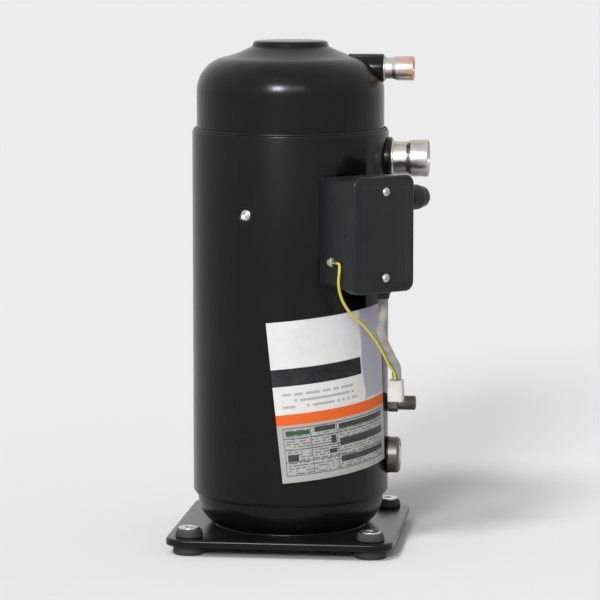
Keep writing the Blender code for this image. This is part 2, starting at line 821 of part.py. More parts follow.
def make_box_screws(rim, boss_reach):
    face = rim + cover_space + cover_face + cover_panel_rise + GAP
    profile = [
        (0.0, boss_reach), (cover_screw_radius, boss_reach), (cover_screw_radius, face),
        (cover_screw_head, face), (cover_screw_head, face + 0.5 * cover_screw_head_height),
        (0.7 * cover_screw_head, face + cover_screw_head_height), (0.0, face + cover_screw_head_height),
    ]
    for name, height in (("lower", -cover_screw_z), ("upper", cover_screw_z)):
        piece(f"cover_screw_{name}", turned(profile, TINY_STEPS), ZINC, outward(height=height))


def make_box_outlets(half_y, half_z, place):
    # Bottom bushing round the supply cable
    bush_inner = cable_radius + GAP
    neck = outlet_radius - box_wall
    flange = 2.0 * box_wall
    down = place @ Matrix.Translation((shell_radius + cable_setback, cable_side, -half_z))
    bushing = [
        (bush_inner, -outlet_length), (neck, -outlet_length), (outlet_radius, -GAP - flange),
        (outlet_radius, -GAP), (neck, -GAP), (neck, box_wall + GAP), (bush_inner, box_wall + GAP),
    ]
    piece("cable_bushing", turned(bushing, SMALL_STEPS, loop=True), RUBBER, down)
    # Side gland for the conduit
    grip = 0.35 * gland_length
    gland = [
        (gland_bore - gland_lining, -box_wall - gland_lining),
        (gland_bore, -box_wall - gland_lining), (gland_bore, GAP),
        (gland_radius, GAP), (gland_radius, grip), (gland_hex - gland_edge, grip + 2.0 * gland_edge),
        (gland_hex - gland_edge, 2.0 * grip), (gland_radius, 0.92 * gland_length),
        (gland_bore + gland_edge, gland_length), (gland_bore - gland_lining, gland_length),
    ]
    side = sideways(shell_radius + gland_setback, half_y, gland_z)
    made = piece("conduit_gland", turned(gland, SMALL_STEPS, loop=True), BLACK_PLASTIC, side)
    nut = hexagon(gland_hex, grip * 0.25, grip)
    wrap = tool("conduit_gland_nut", nut, side)
    cut(wrap, "bore", rod(gland_bore, -box_wall, gland_length), side)
    step = made.modifiers.new("nut", "BOOLEAN")
    step.operation = "UNION"
    step.object = wrap
    # Earth screw through the left wall, with the lead's ring lug under its head
    left = sideways(shell_radius + earth_setback, -half_y, -earth_drop)
    seat = -lug_wall - 2.0 * GAP
    crown = seat - earth_head_height
    screw = [
        (0.0, crown), (0.75 * earth_head_radius, crown),
        (earth_head_radius, seat - 0.5 * earth_head_height), (earth_head_radius, seat),
        (earth_screw_radius, seat), (earth_screw_radius, box_wall + earth_tail),
        (0.0, box_wall + earth_tail),
    ]
    piece("earth_screw", turned(screw, TINY_STEPS), BRONZE, left)
    eye = tube(earth_screw_radius + GAP, lug_radius, -lug_wall - GAP, -GAP, SMALL_STEPS)
    lug = piece("earth_lug", eye, ZINC, left)
    barrel_radius = earth_lead_radius + lug_barrel_wall
    barrel = rod(barrel_radius, 0.8 * lug_radius, lug_radius + lug_barrel, TINY_STEPS)
    lift = Matrix.Translation((0.0, 0.0, -GAP - barrel_radius))
    fuse(lug, "barrel", barrel, left @ lift @ Matrix.Rotation(math.pi / 2.0, 4, "Y"))


def make_terminal():
    place = outward(height=-terminal_drop)
    glass_face = shell_radius - 0.25 * terminal_wall
    cup = turned([
        (0.0, shell_inner), (terminal_radius, shell_inner), (terminal_radius, glass_face + terminal_rim),
        (terminal_radius - terminal_rim_wall, glass_face + terminal_rim),
        (terminal_radius - 1.5 * terminal_rim_wall, glass_face),
        (0.0, glass_face),
    ], SMALL_STEPS)
    terminal = piece("hermetic_terminal", cup, STEEL, place)
    base_face = shell_radius + box_floor + 2.0 * GAP
    half = 0.5 * block_size
    insulator = slab(half, half, block_corner, base_face, base_face + block_depth)
    brick = piece("terminal_block", insulator, BLOCK_BROWN,
                  box_frame() @ Matrix.Translation((0.0, 0.0, -terminal_drop)))
    for i in range(3):
        angle = math.radians(90.0 + 120.0 * i)
        spot = Matrix.Translation((0.0, terminal_pin_circle * math.cos(angle),
                                   terminal_pin_circle * math.sin(angle)))
        at = box_frame() @ Matrix.Translation((0.0, 0.0, -terminal_drop)) @ spot @ lying()
        pin = rod(terminal_pin_radius, shell_inner - terminal_pin_in, shell_radius + terminal_pin_out,
                  TINY_STEPS)
        fuse(terminal, f"pin_{i + 1}", pin, at)
        hole = rod(terminal_pin_radius + GAP, shell_radius, base_face + 2.0 * block_depth, TINY_STEPS)
        cut(brick, f"pin_hole_{i + 1}", hole, at)


# ---------------------------------------------------------------- leads and label
# Routes in the terminal box's frame: out from the shell, to the right, above the box's middle.
# Each starts at the terminal box, and its first and last runs are straight.
CABLE_ROUTE = [
    (0.0215, 0.0240, -0.0705), (0.0215, 0.0240, -0.0780), (0.0212, 0.0235, -0.0850),
    (0.0197, 0.0225, -0.0930), (0.0189, 0.0222, -0.0972), (0.0184, 0.0223, -0.1015),
    (0.0185, 0.0242, -0.1100), (0.0189, 0.0259, -0.1145), (0.0194, 0.0279, -0.1190),
    (0.0204, 0.0325, -0.1280), (0.0209, 0.0348, -0.1325), (0.0214, 0.0369, -0.1365),
    (0.0219, 0.0401, -0.1410), (0.0223, 0.0414, -0.1465), (0.0223, 0.0414, -0.1556),
]
EARTH_ROUTE = [
    (0.0239, -0.0395, -0.0290), (0.0265, -0.0395, -0.0290), (0.0290, -0.0404, -0.0304),
    (0.0305, -0.0416, -0.0344), (0.0307, -0.0424, -0.0410), (0.0294, -0.0420, -0.0480),
    (0.0280, -0.0400, -0.0555), (0.0271, -0.0370, -0.0630), (0.0267, -0.0327, -0.0705),
    (0.0266, -0.0269, -0.0780), (0.0270, -0.0191, -0.0855), (0.0276, -0.0103, -0.0930),
    (0.0282, -0.0018, -0.1010), (0.0284, 0.0058, -0.1095), (0.0284, 0.0129, -0.1185),
    (0.0284, 0.0194, -0.1280), (0.0283, 0.0255, -0.1375), (0.0279, 0.0315, -0.1445),
    (0.0275, 0.0356, -0.1495), (0.0275, 0.0356, -0.1556),
]


def smooth_route(points, spacing):
    """Points at an even spacing along a Catmull-Rom curve through the route."""
    knots = [Vector(p) for p in points]
    knots = [2.0 * knots[0] - knots[1]] + knots + [2.0 * knots[-1] - knots[-2]]
    fine = []
    for a, b, c, d in zip(knots, knots[1:], knots[2:], knots[3:]):
        for i in range(16):
            t = i / 16.0
            fine.append(0.5 * (2.0 * b + (c - a) * t + (2.0 * a - 5.0 * b + 4.0 * c - d) * t ** 2
                               + (3.0 * b - a - 3.0 * c + d) * t ** 3))
    fine.append(knots[-2])
    lengths = [0.0]
    for a, b in zip(fine, fine[1:]):
        lengths.append(lengths[-1] + (b - a).length)
    count = max(2, round(lengths[-1] / spacing))
    picked = []
    for i in range(count + 1):
        want = lengths[-1] * i / count
        j = min(max(k for k, length in enumerate(lengths) if length <= want + 1e-9), len(fine) - 2)
        share = (want - lengths[j]) / max(lengths[j + 1] - lengths[j], 1e-9)
        picked.append(fine[j].lerp(fine[j + 1], min(share, 1.0)))
    return picked


def on_box(route):
    """Points of a route, from the terminal box's frame to the part's."""
    place = box_frame() @ Matrix.Translation((shell_radius, 0.0, 0.0))
    return [place @ Vector(point) for point in route]


def lead(name, route, radius, resolution, finish):
    placed = on_box(route)
    points = [placed[0]] + smooth_route(placed[1:-1], 5.0 * radius) + [placed[-1]]
    curve = bpy.data.curves.new(name, "CURVE")
    curve.dimensions = "3D"
    curve.bevel_depth = radius
    curve.bevel_resolution = resolution
    curve.use_fill_caps = True
    spline = curve.splines.new("POLY")
    spline.points.add(len(points) - 1)
    for knot, point in zip(spline.points, points):
        knot.co = (*point, 1.0)
    made = bpy.data.objects.new(name, curve)
    bpy.context.scene.collection.objects.link(made)
    curve.materials.append(painted(name, finish))


def make_leads():
    lead("supply_cable", CABLE_ROUTE, cable_radius, 3, GREY_SLEEVE)
    lead("earth_lead", EARTH_ROUTE, earth_lead_radius, 2, YELLOW_GREEN)
    middle = 0.5 * (on_box(CABLE_ROUTE)[-1] + on_box(EARTH_ROUTE)[-1])
    outline = rounded(0.5 * connector_width, 0.5 * connector_length, connector_corner, 2)
    body = prism(outline, connector_low, connector_high)
    place = Matrix.Translation((middle.x, middle.y, 0.0))
    made = piece("lead_connector", body, CONNECTOR_IVORY, place)
    mouth = prism(rounded(0.3 * connector_width, 0.33 * connector_length, 0.75 * connector_corner, 2),
                  connector_low - connector_corner, connector_low + connector_mouth)
    cut(made, "mouth", mouth, place)


def make_label():
    columns = 16
    rows = 4
    shape = bmesh.new()
    tilt = Matrix.Rotation(math.radians(label_turn), 2)
    inner = shell_radius + GAP
    sheets = []
    for radius in (inner, inner + label_wall):
        grid = []
        for j in range(rows + 1):
            line = []
            for i in range(columns + 1):
                flat = Vector((label_width * (i / columns - 0.5), label_height * (j / rows - 0.5)))
                across, up = tilt @ flat
                angle = math.radians(label_azimuth - 90.0) + across / inner
                line.append(shape.verts.new((radius * math.cos(angle), radius * math.sin(angle),
                                             label_z + up)))
            grid.append(line)
        sheets.append(grid)
    for grid in sheets:
        for j in range(rows):
            for i in range(columns):
                shape.faces.new((grid[j][i], grid[j][i + 1], grid[j + 1][i + 1], grid[j + 1][i]))
    back, front = sheets
    rim = [(0, i) for i in range(columns)] + [(j, columns) for j in range(rows)]
    rim += [(rows, columns - i) for i in range(columns)] + [(rows - j, 0) for j in range(rows)]
    for (j0, i0), (j1, i1) in zip(rim, rim[1:] + rim[:1]):
        shape.faces.new((back[j0][i0], back[j1][i1], front[j1][i1], front[j0][i0]))
    piece("rating_label", shape, LABEL_WHITE)


# ---------------------------------------------------------------- scroll set
def wrap_outline():
    """Spiral wall between two involutes of the base circle, with flat ends."""
    def point(angle, unrolled):
        return (involute_base * (math.cos(angle) + unrolled * math.sin(angle)),
                involute_base * (math.sin(angle) - unrolled * math.cos(angle)))

    count = round(wrap_turns * wrap_steps)
    angles = [wrap_start + (wrap_end - wrap_start) * i / count for i in range(count + 1)]
    outer = [point(a, a + wrap_half_angle) for a in angles]
    inner = [point(a, a - wrap_half_angle) for a in reversed(angles)]
    return outer + inner


def make_orbiting_scroll():
    at = Matrix.Translation((pin_axis.x, pin_axis.y, 0.0))
    origin = (pin_axis.x, pin_axis.y, orbit_plate_low)
    hub_low = orbit_plate_low - orbit_hub_drop
    bore = drive_bearing_outer + GAP
    plate = turned([
        (0.0, orbit_plate_low), (bore, orbit_plate_low), (bore, hub_low), (orbit_hub_radius, hub_low),
        (orbit_hub_radius, orbit_plate_low), (orbit_plate_radius, orbit_plate_low),
        (orbit_plate_radius, orbit_plate_high), (0.0, orbit_plate_high),
    ])
    made = piece("orbiting_scroll", plate, CAST_IRON, at, origin)
    fuse(made, "wrap", prism(wrap_outline(), orbit_plate_high - SINK, wrap_top), at)
    half = 0.5 * key_width + GAP + 2.0 * crank_throw
    inner = key_inner - crank_throw - 2.0 * GAP
    for name, sign in (("rear", 1), ("front", -1)):
        near, far = sorted((sign * inner, sign * (orbit_plate_radius + crank_throw)))
        slot = block((-half, near, orbit_plate_low - SINK),
                     (half, far, thrust_z - oldham_seat_drop + GAP + oldham_wall + key_high + GAP))
        cut(made, f"key_slot_{name}", slot, at)


def make_fixed_scroll():
    body = piece("fixed_scroll", rod(fixed_outer, fixed_low, fixed_top, BODY_STEPS), CAST_IRON)
    flange = rod(fixed_flange_radius, fixed_low, fixed_low + fixed_flange_wall, BODY_STEPS)
    fuse(body, "flange", flange)
    cut(body, "chamber", rod(fixed_bore, fixed_low - SINK, fixed_base_low, BODY_STEPS))
    half_turn = Matrix.Rotation(math.pi, 4, "Z")
    wrap_low = orbit_plate_high + GAP
    fuse(body, "wrap", prism(wrap_outline(), wrap_low, fixed_base_low + SINK), half_turn)
    pocket = tube(seal_inner - GAP, seal_outer + GAP, seal_pocket_z, fixed_top + SINK)
    cut(body, "seal_pocket", pocket)
    cut(body, "discharge_port", rod(discharge_port, fixed_base_low - SINK, fixed_top + SINK))
    half = 0.5 * inlet_width
    inlet = block((wrap_end * involute_base + inlet_margin, -half, fixed_low + fixed_flange_wall + GAP),
                  (fixed_flange_radius, half, fixed_base_low - SINK))
    cut(body, "inlet", inlet)
    bolt_circle = 0.5 * (fixed_outer + fixed_flange_radius)
    flange_top = fixed_low + fixed_flange_wall
    for i in range(scroll_bolt_count):
        turn = Matrix.Rotation(2.0 * math.pi * (i + 0.5) / scroll_bolt_count, 4, "Z")
        head = hexagon(scroll_bolt_radius, flange_top - SINK, flange_top + scroll_bolt_height)
        fuse(body, f"bolt_head_{i + 1}", head, turn @ Matrix.Translation((bolt_circle, 0.0, 0.0)))


def make_oldham_ring():
    low = oldham_seat_z + GAP
    high = low + oldham_wall
    ring = piece("oldham_ring", tube(oldham_inner, oldham_outer, low, high), ALUMINIUM,
                 origin=(0.0, 0.0, low))
    half = 0.5 * key_width
    for name, sign in (("right", 1), ("left", -1)):
        near, far = sorted((sign * key_inner, sign * key_outer))
        fuse(ring, f"lower_key_{name}", block((near, -half, low - key_low), (far, half, low + SINK)))
    for name, sign in (("rear", 1), ("front", -1)):
        near, far = sorted((sign * key_inner, sign * key_outer))
        fuse(ring, f"upper_key_{name}", block((-half, near, high - SINK), (half, far, high + key_high)))


def make_bearing_housing():
    rim = fixed_flange_radius
    skirt = rim - housing_skirt_in
    profile = [
        (main_bush_outer + GAP, housing_low), (housing_hub_radius, housing_low),
        (housing_hub_radius + 0.125 * housing_flare, housing_low + housing_hub_straight),
        (housing_hub_radius + housing_flare, hub_well_z - 0.4 * housing_floor),
        (skirt, oldham_seat_z - housing_floor), (skirt, housing_rim_z - housing_floor),
        (rim, housing_rim_z - housing_flange),
        (rim, housing_rim_z), (housing_bore, housing_rim_z), (housing_bore, oldham_seat_z),
        (thrust_radius, oldham_seat_z), (thrust_radius, thrust_z), (hub_well_radius, thrust_z),
        (hub_well_radius, hub_well_z), (main_bush_outer + GAP, hub_well_z),
    ]
    made = piece("main_bearing_housing", turned(profile, BODY_STEPS, loop=True), CAST_IRON)
    key_far = key_outer + crank_throw + 2.0 * GAP
    key_near = key_inner - crank_throw - 2.0 * GAP
    half = 0.5 * key_width + GAP
    floor = oldham_seat_z - key_low - GAP
    for name, sign in (("right", 1), ("left", -1)):
        near, far = sorted((sign * key_near, sign * key_far))
        cut(made, f"key_slot_{name}", block((near, -half, floor), (far, half, oldham_seat_z + SINK)))
    for i in range(weld_count):
        turn = toward(weld_azimuth + 360.0 * i / weld_count)
        arm = block((skirt - housing_skirt_in, -0.5 * lug_width, weld_z - 0.5 * lug_height),
                    (shell_radius, 0.5 * lug_width, weld_z + 0.5 * lug_height))
        fuse(made, f"lug_{i + 1}", arm, turn)
    outside = tube(shell_inner - GAP, 1.3 * shell_radius, housing_low, fixed_top, SHELL_STEPS)
    cut(made, "shell_fit", outside)


# ---------------------------------------------------------------- shaft, bearings and oil feed
def make_shaft():
    journal_top = hub_well_z - GAP
    weights_top = stack_high + end_ring_height + counterweight_height
    shape = turned([
        (lower_journal_radius - shaft_chamfer, shaft_low),
        (lower_journal_radius, shaft_low + shaft_chamfer),
        (lower_journal_radius, shaft_step_z), (shaft_radius, shaft_step_z),
        (shaft_radius, weights_top), (journal_radius, weights_top + 2.0 * shaft_chamfer),
        (journal_radius, journal_top),
    ], BODY_STEPS)
    shaft = piece("crankshaft", shape, STEEL)
    offset = Matrix.Translation(pin_axis)
    fuse(shaft, "crank_pin", rod(pin_radius, journal_top - SINK, pin_top, BODY_STEPS), offset)
    cut(shaft, "oil_bore", rod(oil_bore, shaft_low - SINK, pin_top + SINK, TINY_STEPS), offset)
    bush_low = hub_well_z + shaft_chamfer
    bush = tube(pin_radius + GAP, drive_bush_outer, bush_low, pin_top)
    piece("drive_bush", bush, STEEL, offset)
    bearing_low = orbit_plate_low - orbit_hub_drop + GAP
    bearing = tube(drive_bush_outer + GAP, drive_bearing_outer, bearing_low, pin_top)
    piece("drive_bearing", bearing, BRONZE, offset, origin=tuple(pin_axis))
    main_bush = tube(journal_radius + GAP, main_bush_outer, housing_low, hub_well_z - GAP)
    piece("main_bearing_bush", main_bush, BRONZE)
    lower_bush = tube(lower_journal_radius + GAP, lower_bush_outer, lower_bearing_low, lower_bearing_high)
    piece("lower_bearing_bush", lower_bush, BRONZE)
    pickup_top = shaft_low - GAP
    pickup = [
        (oil_bore, pickup_low), (0.5 * pickup_radius, pickup_low),
        (pickup_radius, pickup_low + pickup_taper),
        (pickup_radius, pickup_top), (pickup_radius - pickup_wall, pickup_top),
        (pickup_radius - pickup_wall, pickup_low + pickup_taper + 0.4 * pickup_wall),
    ]
    piece("oil_pickup", turned(pickup, SMALL_STEPS, loop=True), STEEL)


def make_lower_bracket():
    hub = tube(lower_bush_outer + GAP, lower_hub_radius, lower_bearing_low, lower_bearing_high)
    made = piece("lower_bearing_bracket", hub, CAST_IRON)
    high = bracket_z + bracket_wall
    for i in range(weld_count):
        turn = toward(weld_azimuth + 360.0 * i / weld_count)
        arm = block((lower_hub_radius - bracket_root, -0.5 * bracket_arm_width, bracket_z),
                    (shell_radius, 0.5 * bracket_arm_width, high))
        fuse(made, f"arm_{i + 1}", arm, turn)
        foot = block((shell_inner - bracket_foot_wall, -0.5 * bracket_foot_width, bracket_z - SINK),
                     (shell_radius, 0.5 * bracket_foot_width, high + bracket_foot_rise))
        fuse(made, f"foot_{i + 1}", foot, turn)
    outside = tube(shell_inner - GAP, 1.3 * shell_radius, bracket_z - bracket_wall,
                   high + 2.0 * bracket_foot_rise, SHELL_STEPS)
    cut(made, "shell_fit", outside)


# ---------------------------------------------------------------- motor
def stator_outlines():
    outer = []
    radius = shell_inner - GAP
    flat_half = math.degrees(math.acos((radius - stator_flat_depth) / radius))
    step = 360.0 / stator_flats
    for i in range(stator_flats):
        middle = step * (i + 0.5)
        start = middle - 0.5 * step + flat_half
        outer += arc((0.0, 0.0), radius, start, middle + 0.5 * step - flat_half, 6)
    inner = []
    pitch = 2.0 * math.pi / slot_count
    tip = stator_bore + tooth_tip
    bottom = stator_bore + slot_depth
    wide = 0.5 * slot_width
    mouth = 0.5 * slot_mouth
    for i in range(slot_count):
        angle = pitch * i
        turn = Matrix.Rotation(angle, 2)
        corner = [
            (math.sqrt(stator_bore ** 2 - mouth ** 2), -mouth), (tip - tooth_round, -mouth), (tip, -wide),
            (bottom, -1.2 * wide), (bottom, 1.2 * wide), (tip, wide), (tip - tooth_round, mouth),
            (math.sqrt(stator_bore ** 2 - mouth ** 2), mouth),
        ]
        inner += [tuple(turn @ Vector(point)) for point in corner]
        middle = Matrix.Rotation(angle + 0.5 * pitch, 2) @ Vector((stator_bore, 0.0))
        inner.append(tuple(middle))
    return outer, inner


def half_ring(inner, outer, low, high, facing):
    """Half of a ring, centred on the +Y or -Y side."""
    start = 0.0 if facing > 0 else 180.0
    first = start + counterweight_short
    last = start + 180.0 - counterweight_short
    outline = arc((0.0, 0.0), outer, first, last, 16)
    outline += list(reversed(arc((0.0, 0.0), inner, first, last, 16)))
    return prism(outline, low, high)


def make_motor():
    outer, inner = stator_outlines()
    piece("stator_core", holed(outer, inner, stack_low, stack_high), LAMINATION)
    piece("rotor_core", tube(shaft_radius + GAP, rotor_radius, stack_low, stack_high), LAMINATION)
    bulge = 0.25 * (winding_outer - winding_inner)
    for name, base, grow in (("upper", stack_high + GAP, 1.0), ("lower", stack_low - GAP, -1.0)):
        far = base + grow * winding_height
        bundle = [
            (winding_inner, base), (winding_outer, base), (winding_outer, far - grow * bulge),
            (winding_outer - bulge, far), (winding_inner + bulge, far),
            (winding_inner, far - grow * bulge),
        ]
        piece(f"{name}_winding", turned(bundle, BODY_STEPS, loop=True), COPPER)
        ring_far = base + grow * end_ring_height
        low, high = sorted((base, ring_far))
        piece(f"{name}_end_ring", tube(end_ring_inner, end_ring_outer, low, high), ALUMINIUM)
        weight_near = ring_far + grow * GAP
        low, high = sorted((weight_near, weight_near + grow * (counterweight_height - 2.0 * GAP)))
        facing = -1.0 if name == "upper" else 1.0
        weight = half_ring(counterweight_inner, counterweight_outer, low, high, facing)
        piece(f"{name}_counterweight", weight, BRONZE)


# ---------------------------------------------------------------- separator plate and valves
def make_separator():
    low = separator_low
    wall = separator_wall
    rise = separator_rise
    rim = cap_inner - GAP
    port = check_disc_radius + check_disc_room
    profile = [
        (port, low), (separator_hub, low), (separator_slope, low + rise), (rim, low + rise),
        (rim, low + rise + wall), (separator_slope, low + rise + wall), (separator_hub, low + wall),
        (port, low + wall),
    ]
    piece("separator_plate", turned(profile, BODY_STEPS, loop=True), STEEL)
    seal_z = seal_pocket_z + GAP
    seal = [
        (seal_inner, seal_z), (seal_outer, seal_z), (seal_outer, seal_z + seal_body),
        (seal_outer - seal_step, seal_z + seal_body), (seal_outer - 2.0 * seal_lip, seal_z + seal_height),
        (seal_inner + seal_lip, seal_z + seal_height), (seal_inner, seal_z + seal_body),
    ]
    piece("floating_seal", turned(seal, BODY_STEPS, loop=True), CAST_IRON, origin=(0.0, 0.0, seal_z))
    seat_low = low + wall + GAP
    seat_high = seat_low + check_seat_wall
    seat = tube(check_port, check_flange, seat_low, seat_high, SMALL_STEPS)
    cage = piece("check_valve_cage", seat, STEEL)
    stop = seat_high + GAP + check_disc_wall + check_travel + GAP
    roof = tube(0.5 * check_port, check_flange - check_roof_wall, stop, stop + check_roof_wall,
                SMALL_STEPS)
    fuse(cage, "roof", roof)
    for i in range(3):
        turn = Matrix.Rotation(2.0 * math.pi * i / 3.0, 4, "Z")
        post = block((check_disc_radius + 2.0 * GAP, -0.5 * check_post, seat_low + SINK),
                     (check_flange - 1.5 * check_roof_wall, 0.5 * check_post, stop + SINK))
        fuse(cage, f"post_{i + 1}", post, turn)
    disc_low = seat_high + GAP
    disc = rod(check_disc_radius, disc_low, disc_low + check_disc_wall, SMALL_STEPS)
    piece("check_valve_disc", disc, STEEL, origin=(0.0, 0.0, disc_low))


make_shell()
make_top_cap()
make_bottom_cap()
make_base_plate()
make_feet()
make_stubs()
make_oil_fittings()
make_terminal_box()
make_terminal()
make_leads()
make_label()
make_orbiting_scroll()
make_fixed_scroll()
make_oldham_ring()
make_bearing_housing()
make_shaft()
make_lower_bracket()
make_motor()
make_separator()
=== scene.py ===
import math

import bmesh
import bpy
from mathutils import Matrix, Vector, noise


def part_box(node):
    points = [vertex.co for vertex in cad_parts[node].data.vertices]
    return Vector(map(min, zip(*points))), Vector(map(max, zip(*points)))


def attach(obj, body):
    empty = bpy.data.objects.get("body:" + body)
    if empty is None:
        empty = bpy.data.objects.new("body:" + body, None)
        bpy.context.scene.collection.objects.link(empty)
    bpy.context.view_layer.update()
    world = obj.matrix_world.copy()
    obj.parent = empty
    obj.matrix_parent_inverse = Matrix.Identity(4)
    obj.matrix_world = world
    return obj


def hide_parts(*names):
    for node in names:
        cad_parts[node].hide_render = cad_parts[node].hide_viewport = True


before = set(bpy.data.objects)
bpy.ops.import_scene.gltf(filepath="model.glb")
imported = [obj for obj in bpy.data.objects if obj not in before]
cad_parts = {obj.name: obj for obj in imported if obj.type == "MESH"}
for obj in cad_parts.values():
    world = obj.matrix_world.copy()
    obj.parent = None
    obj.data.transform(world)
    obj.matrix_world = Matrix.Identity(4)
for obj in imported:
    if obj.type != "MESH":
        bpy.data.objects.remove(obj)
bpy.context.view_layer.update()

# ---------------------------------------------------------------- sizes, in metres
# Read from the frame
SHELL_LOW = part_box("shell_tube")[0].z
SHELL_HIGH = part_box("shell_tube")[1].z
CAP_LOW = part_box("top_cap")[0].z
CAP_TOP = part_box("top_cap")[1].z
FLOOR_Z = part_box("grommet_front_left")[0].z
FOOT_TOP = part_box("grommet_front_left")[1].z
SLEEVE_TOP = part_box("foot_sleeve_front_left")[1].z
SUCTION_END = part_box("suction_stub")[1].x
DISCHARGE_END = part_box("discharge_stub")[1].x
SUCTION_Z = 0.5 * (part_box("suction_stub")[0].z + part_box("suction_stub")[1].z)
DISCHARGE_Z = 0.5 * (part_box("discharge_stub")[0].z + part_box("discharge_stub")[1].z)
GLASS_Z = 0.5 * (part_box("sight_glass_body")[0].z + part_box("sight_glass_body")[1].z)
VALVE_Z = 0.5 * (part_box("valve_cap")[0].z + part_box("valve_cap")[1].z)
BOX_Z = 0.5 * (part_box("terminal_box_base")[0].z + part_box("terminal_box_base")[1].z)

# The same driving sizes as the solids
SHELL_RADIUS = 0.1035
SHELL_WALL = 0.0045
GAP = 0.0003
CAP_INSERT = 0.008
CAP_SKIRT = 0.041
CAP_SHOULDER = 0.036
SHOULDER_TURN = 78.0
DOME_RISE = 0.010
BOSS_RADIUS = 0.040
BOTTOM_CORNER = 0.034
BOTTOM_SKIRT = 0.020
PAD_TOP = 0.004
PLATE_WALL = 0.004
PLATE_TOP = 0.008
PLATE_HALF = 0.119
PLATE_CORNER = 0.022
PLATE_SKIRT_LOW = 0.0006
PAD_RADIUS = 0.075
PAD_RAMP = 0.008
FOOT_OFFSET = 0.095
FOOT_RADIUS = 0.017
FOOT_NECK = 0.009
SLEEVE_RADIUS = 0.006
SLEEVE_BORE = 0.0043
SLEEVE_FLANGE = 0.011
SUCTION_RADIUS = 0.0175
SUCTION_WALL = 0.0020
DISCHARGE_RADIUS = 0.0111
DISCHARGE_WALL = 0.0016
SOCKET_DEPTH = 0.018
BOX_AZIMUTH = 45.0
BOX_HALF_WIDTH = 0.037
BOX_HALF_HEIGHT = 0.057
LABEL_AZIMUTH = 36.0
LABEL_Z = 0.158
LABEL_WIDTH = 0.140
LABEL_HEIGHT = 0.168
LABEL_TURN = 6.0
WELD_AZIMUTH = -20.0
WELD_COUNT = 3
WELD_Z = 0.345
WELD_RADIUS = 0.0090
WELD_DEPTH = 0.0018
WELD_FLOOR = 0.62 * WELD_RADIUS
SUCTION_COLLAR = 0.022
SUCTION_COLLAR_REACH = 0.0045
DISCHARGE_COLLAR = 0.0150
DISCHARGE_COLLAR_END = 0.099
GLASS_SPIGOT = 0.0120
VALVE_SPIGOT = 0.0060
TERMINAL_RADIUS = 0.0195
TERMINAL_DROP = 0.016

CAP_RADIUS = SHELL_RADIUS - SHELL_WALL - GAP
CAP_INNER = CAP_RADIUS - SHELL_WALL

# The leads' routes in the terminal box's frame: out from the shell, to the right, above its middle.
# Each starts at the box, and its first and last runs are straight.
CABLE_RADIUS = 0.0050
EARTH_RADIUS = 0.0015
CABLE_ROUTE = (
    (0.0215, 0.0240, -0.0705), (0.0215, 0.0240, -0.0780), (0.0212, 0.0235, -0.0850),
    (0.0197, 0.0225, -0.0930), (0.0189, 0.0222, -0.0972), (0.0184, 0.0223, -0.1015),
    (0.0185, 0.0242, -0.1100), (0.0189, 0.0259, -0.1145), (0.0194, 0.0279, -0.1190),
    (0.0204, 0.0325, -0.1280), (0.0209, 0.0348, -0.1325), (0.0214, 0.0369, -0.1365),
    (0.0219, 0.0401, -0.1410), (0.0223, 0.0414, -0.1465), (0.0223, 0.0414, -0.1556),
)
EARTH_ROUTE = (
    (0.0239, -0.0395, -0.0290), (0.0265, -0.0395, -0.0290), (0.0290, -0.0404, -0.0304),
    (0.0305, -0.0416, -0.0344), (0.0307, -0.0424, -0.0410), (0.0294, -0.0420, -0.0480),
    (0.0280, -0.0400, -0.0555), (0.0271, -0.0370, -0.0630), (0.0267, -0.0327, -0.0705),
    (0.0266, -0.0269, -0.0780), (0.0270, -0.0191, -0.0855), (0.0276, -0.0103, -0.0930),
    (0.0282, -0.0018, -0.1010), (0.0284, 0.0058, -0.1095), (0.0284, 0.0129, -0.1185),
    (0.0284, 0.0194, -0.1280), (0.0283, 0.0255, -0.1375), (0.0279, 0.0315, -0.1445),
    (0.0275, 0.0356, -0.1495), (0.0275, 0.0356, -0.1556),
)

# View of the photograph
VIEW_AZIMUTH = 7.0
CAMERA_DISTANCE = 3.3
CAMERA_HEIGHT = 0.66
AIM = Vector((0.010, 0.0, 0.246))
FRAME_HEIGHT = 0.636
SENSOR = 36.0                 # millimetres


# ---------------------------------------------------------------- node helpers
class Graph:
    """Short way to place and join nodes in a material or a node group."""

    def __init__(self, tree):
        self.tree = tree

    def add(self, kind, settings=None, **sockets):
        made = self.tree.nodes.new(kind)
        for key, value in (settings or {}).items():
            setattr(made, key, value)
        for key, value in sockets.items():
            self.feed(made, key.replace("_", " "), value)
        return made

    def feed(self, made, socket, value):
        target = made.inputs[int(socket)] if socket.isdigit() else made.inputs[socket]
        if isinstance(value, bpy.types.NodeSocket):
            self.tree.links.new(value, target)
        else:
            target.default_value = value

    def math(self, operation, a, b=0.0, clamp=False):
        made = self.add("ShaderNodeMath", {"operation": operation, "use_clamp": clamp})
        self.feed(made, "0", a)
        self.feed(made, "1", b)
        return made.outputs[0]

    def mix(self, factor, a, b, blend="MIX"):
        made = self.add("ShaderNodeMix", {"data_type": "RGBA", "blend_type": blend})
        self.feed(made, "0", factor)
        self.feed(made, "6", a)
        self.feed(made, "7", b)
        return made.outputs[2]

    def ramp(self, value, low, high, out_low=0.0, out_high=1.0):
        made = self.add("ShaderNodeMapRange", {"clamp": True})
        for socket, item in enumerate((value, low, high, out_low, out_high)):
            self.feed(made, str(socket), item)
        return made.outputs[0]

    def noise(self, vector, scale, detail=3.0, rough=0.5):
        made = self.add("ShaderNodeTexNoise", {}, Scale=scale, Detail=detail, Roughness=rough)
        self.feed(made, "Vector", vector)
        return made.outputs["Fac"]

    def here(self):
        return self.add("ShaderNodeTexCoord").outputs["Object"]

    def split(self, vector):
        return self.add("ShaderNodeSeparateXYZ", {}, Vector=vector).outputs


def colour(*rgb):
    return (*rgb, 1.0)


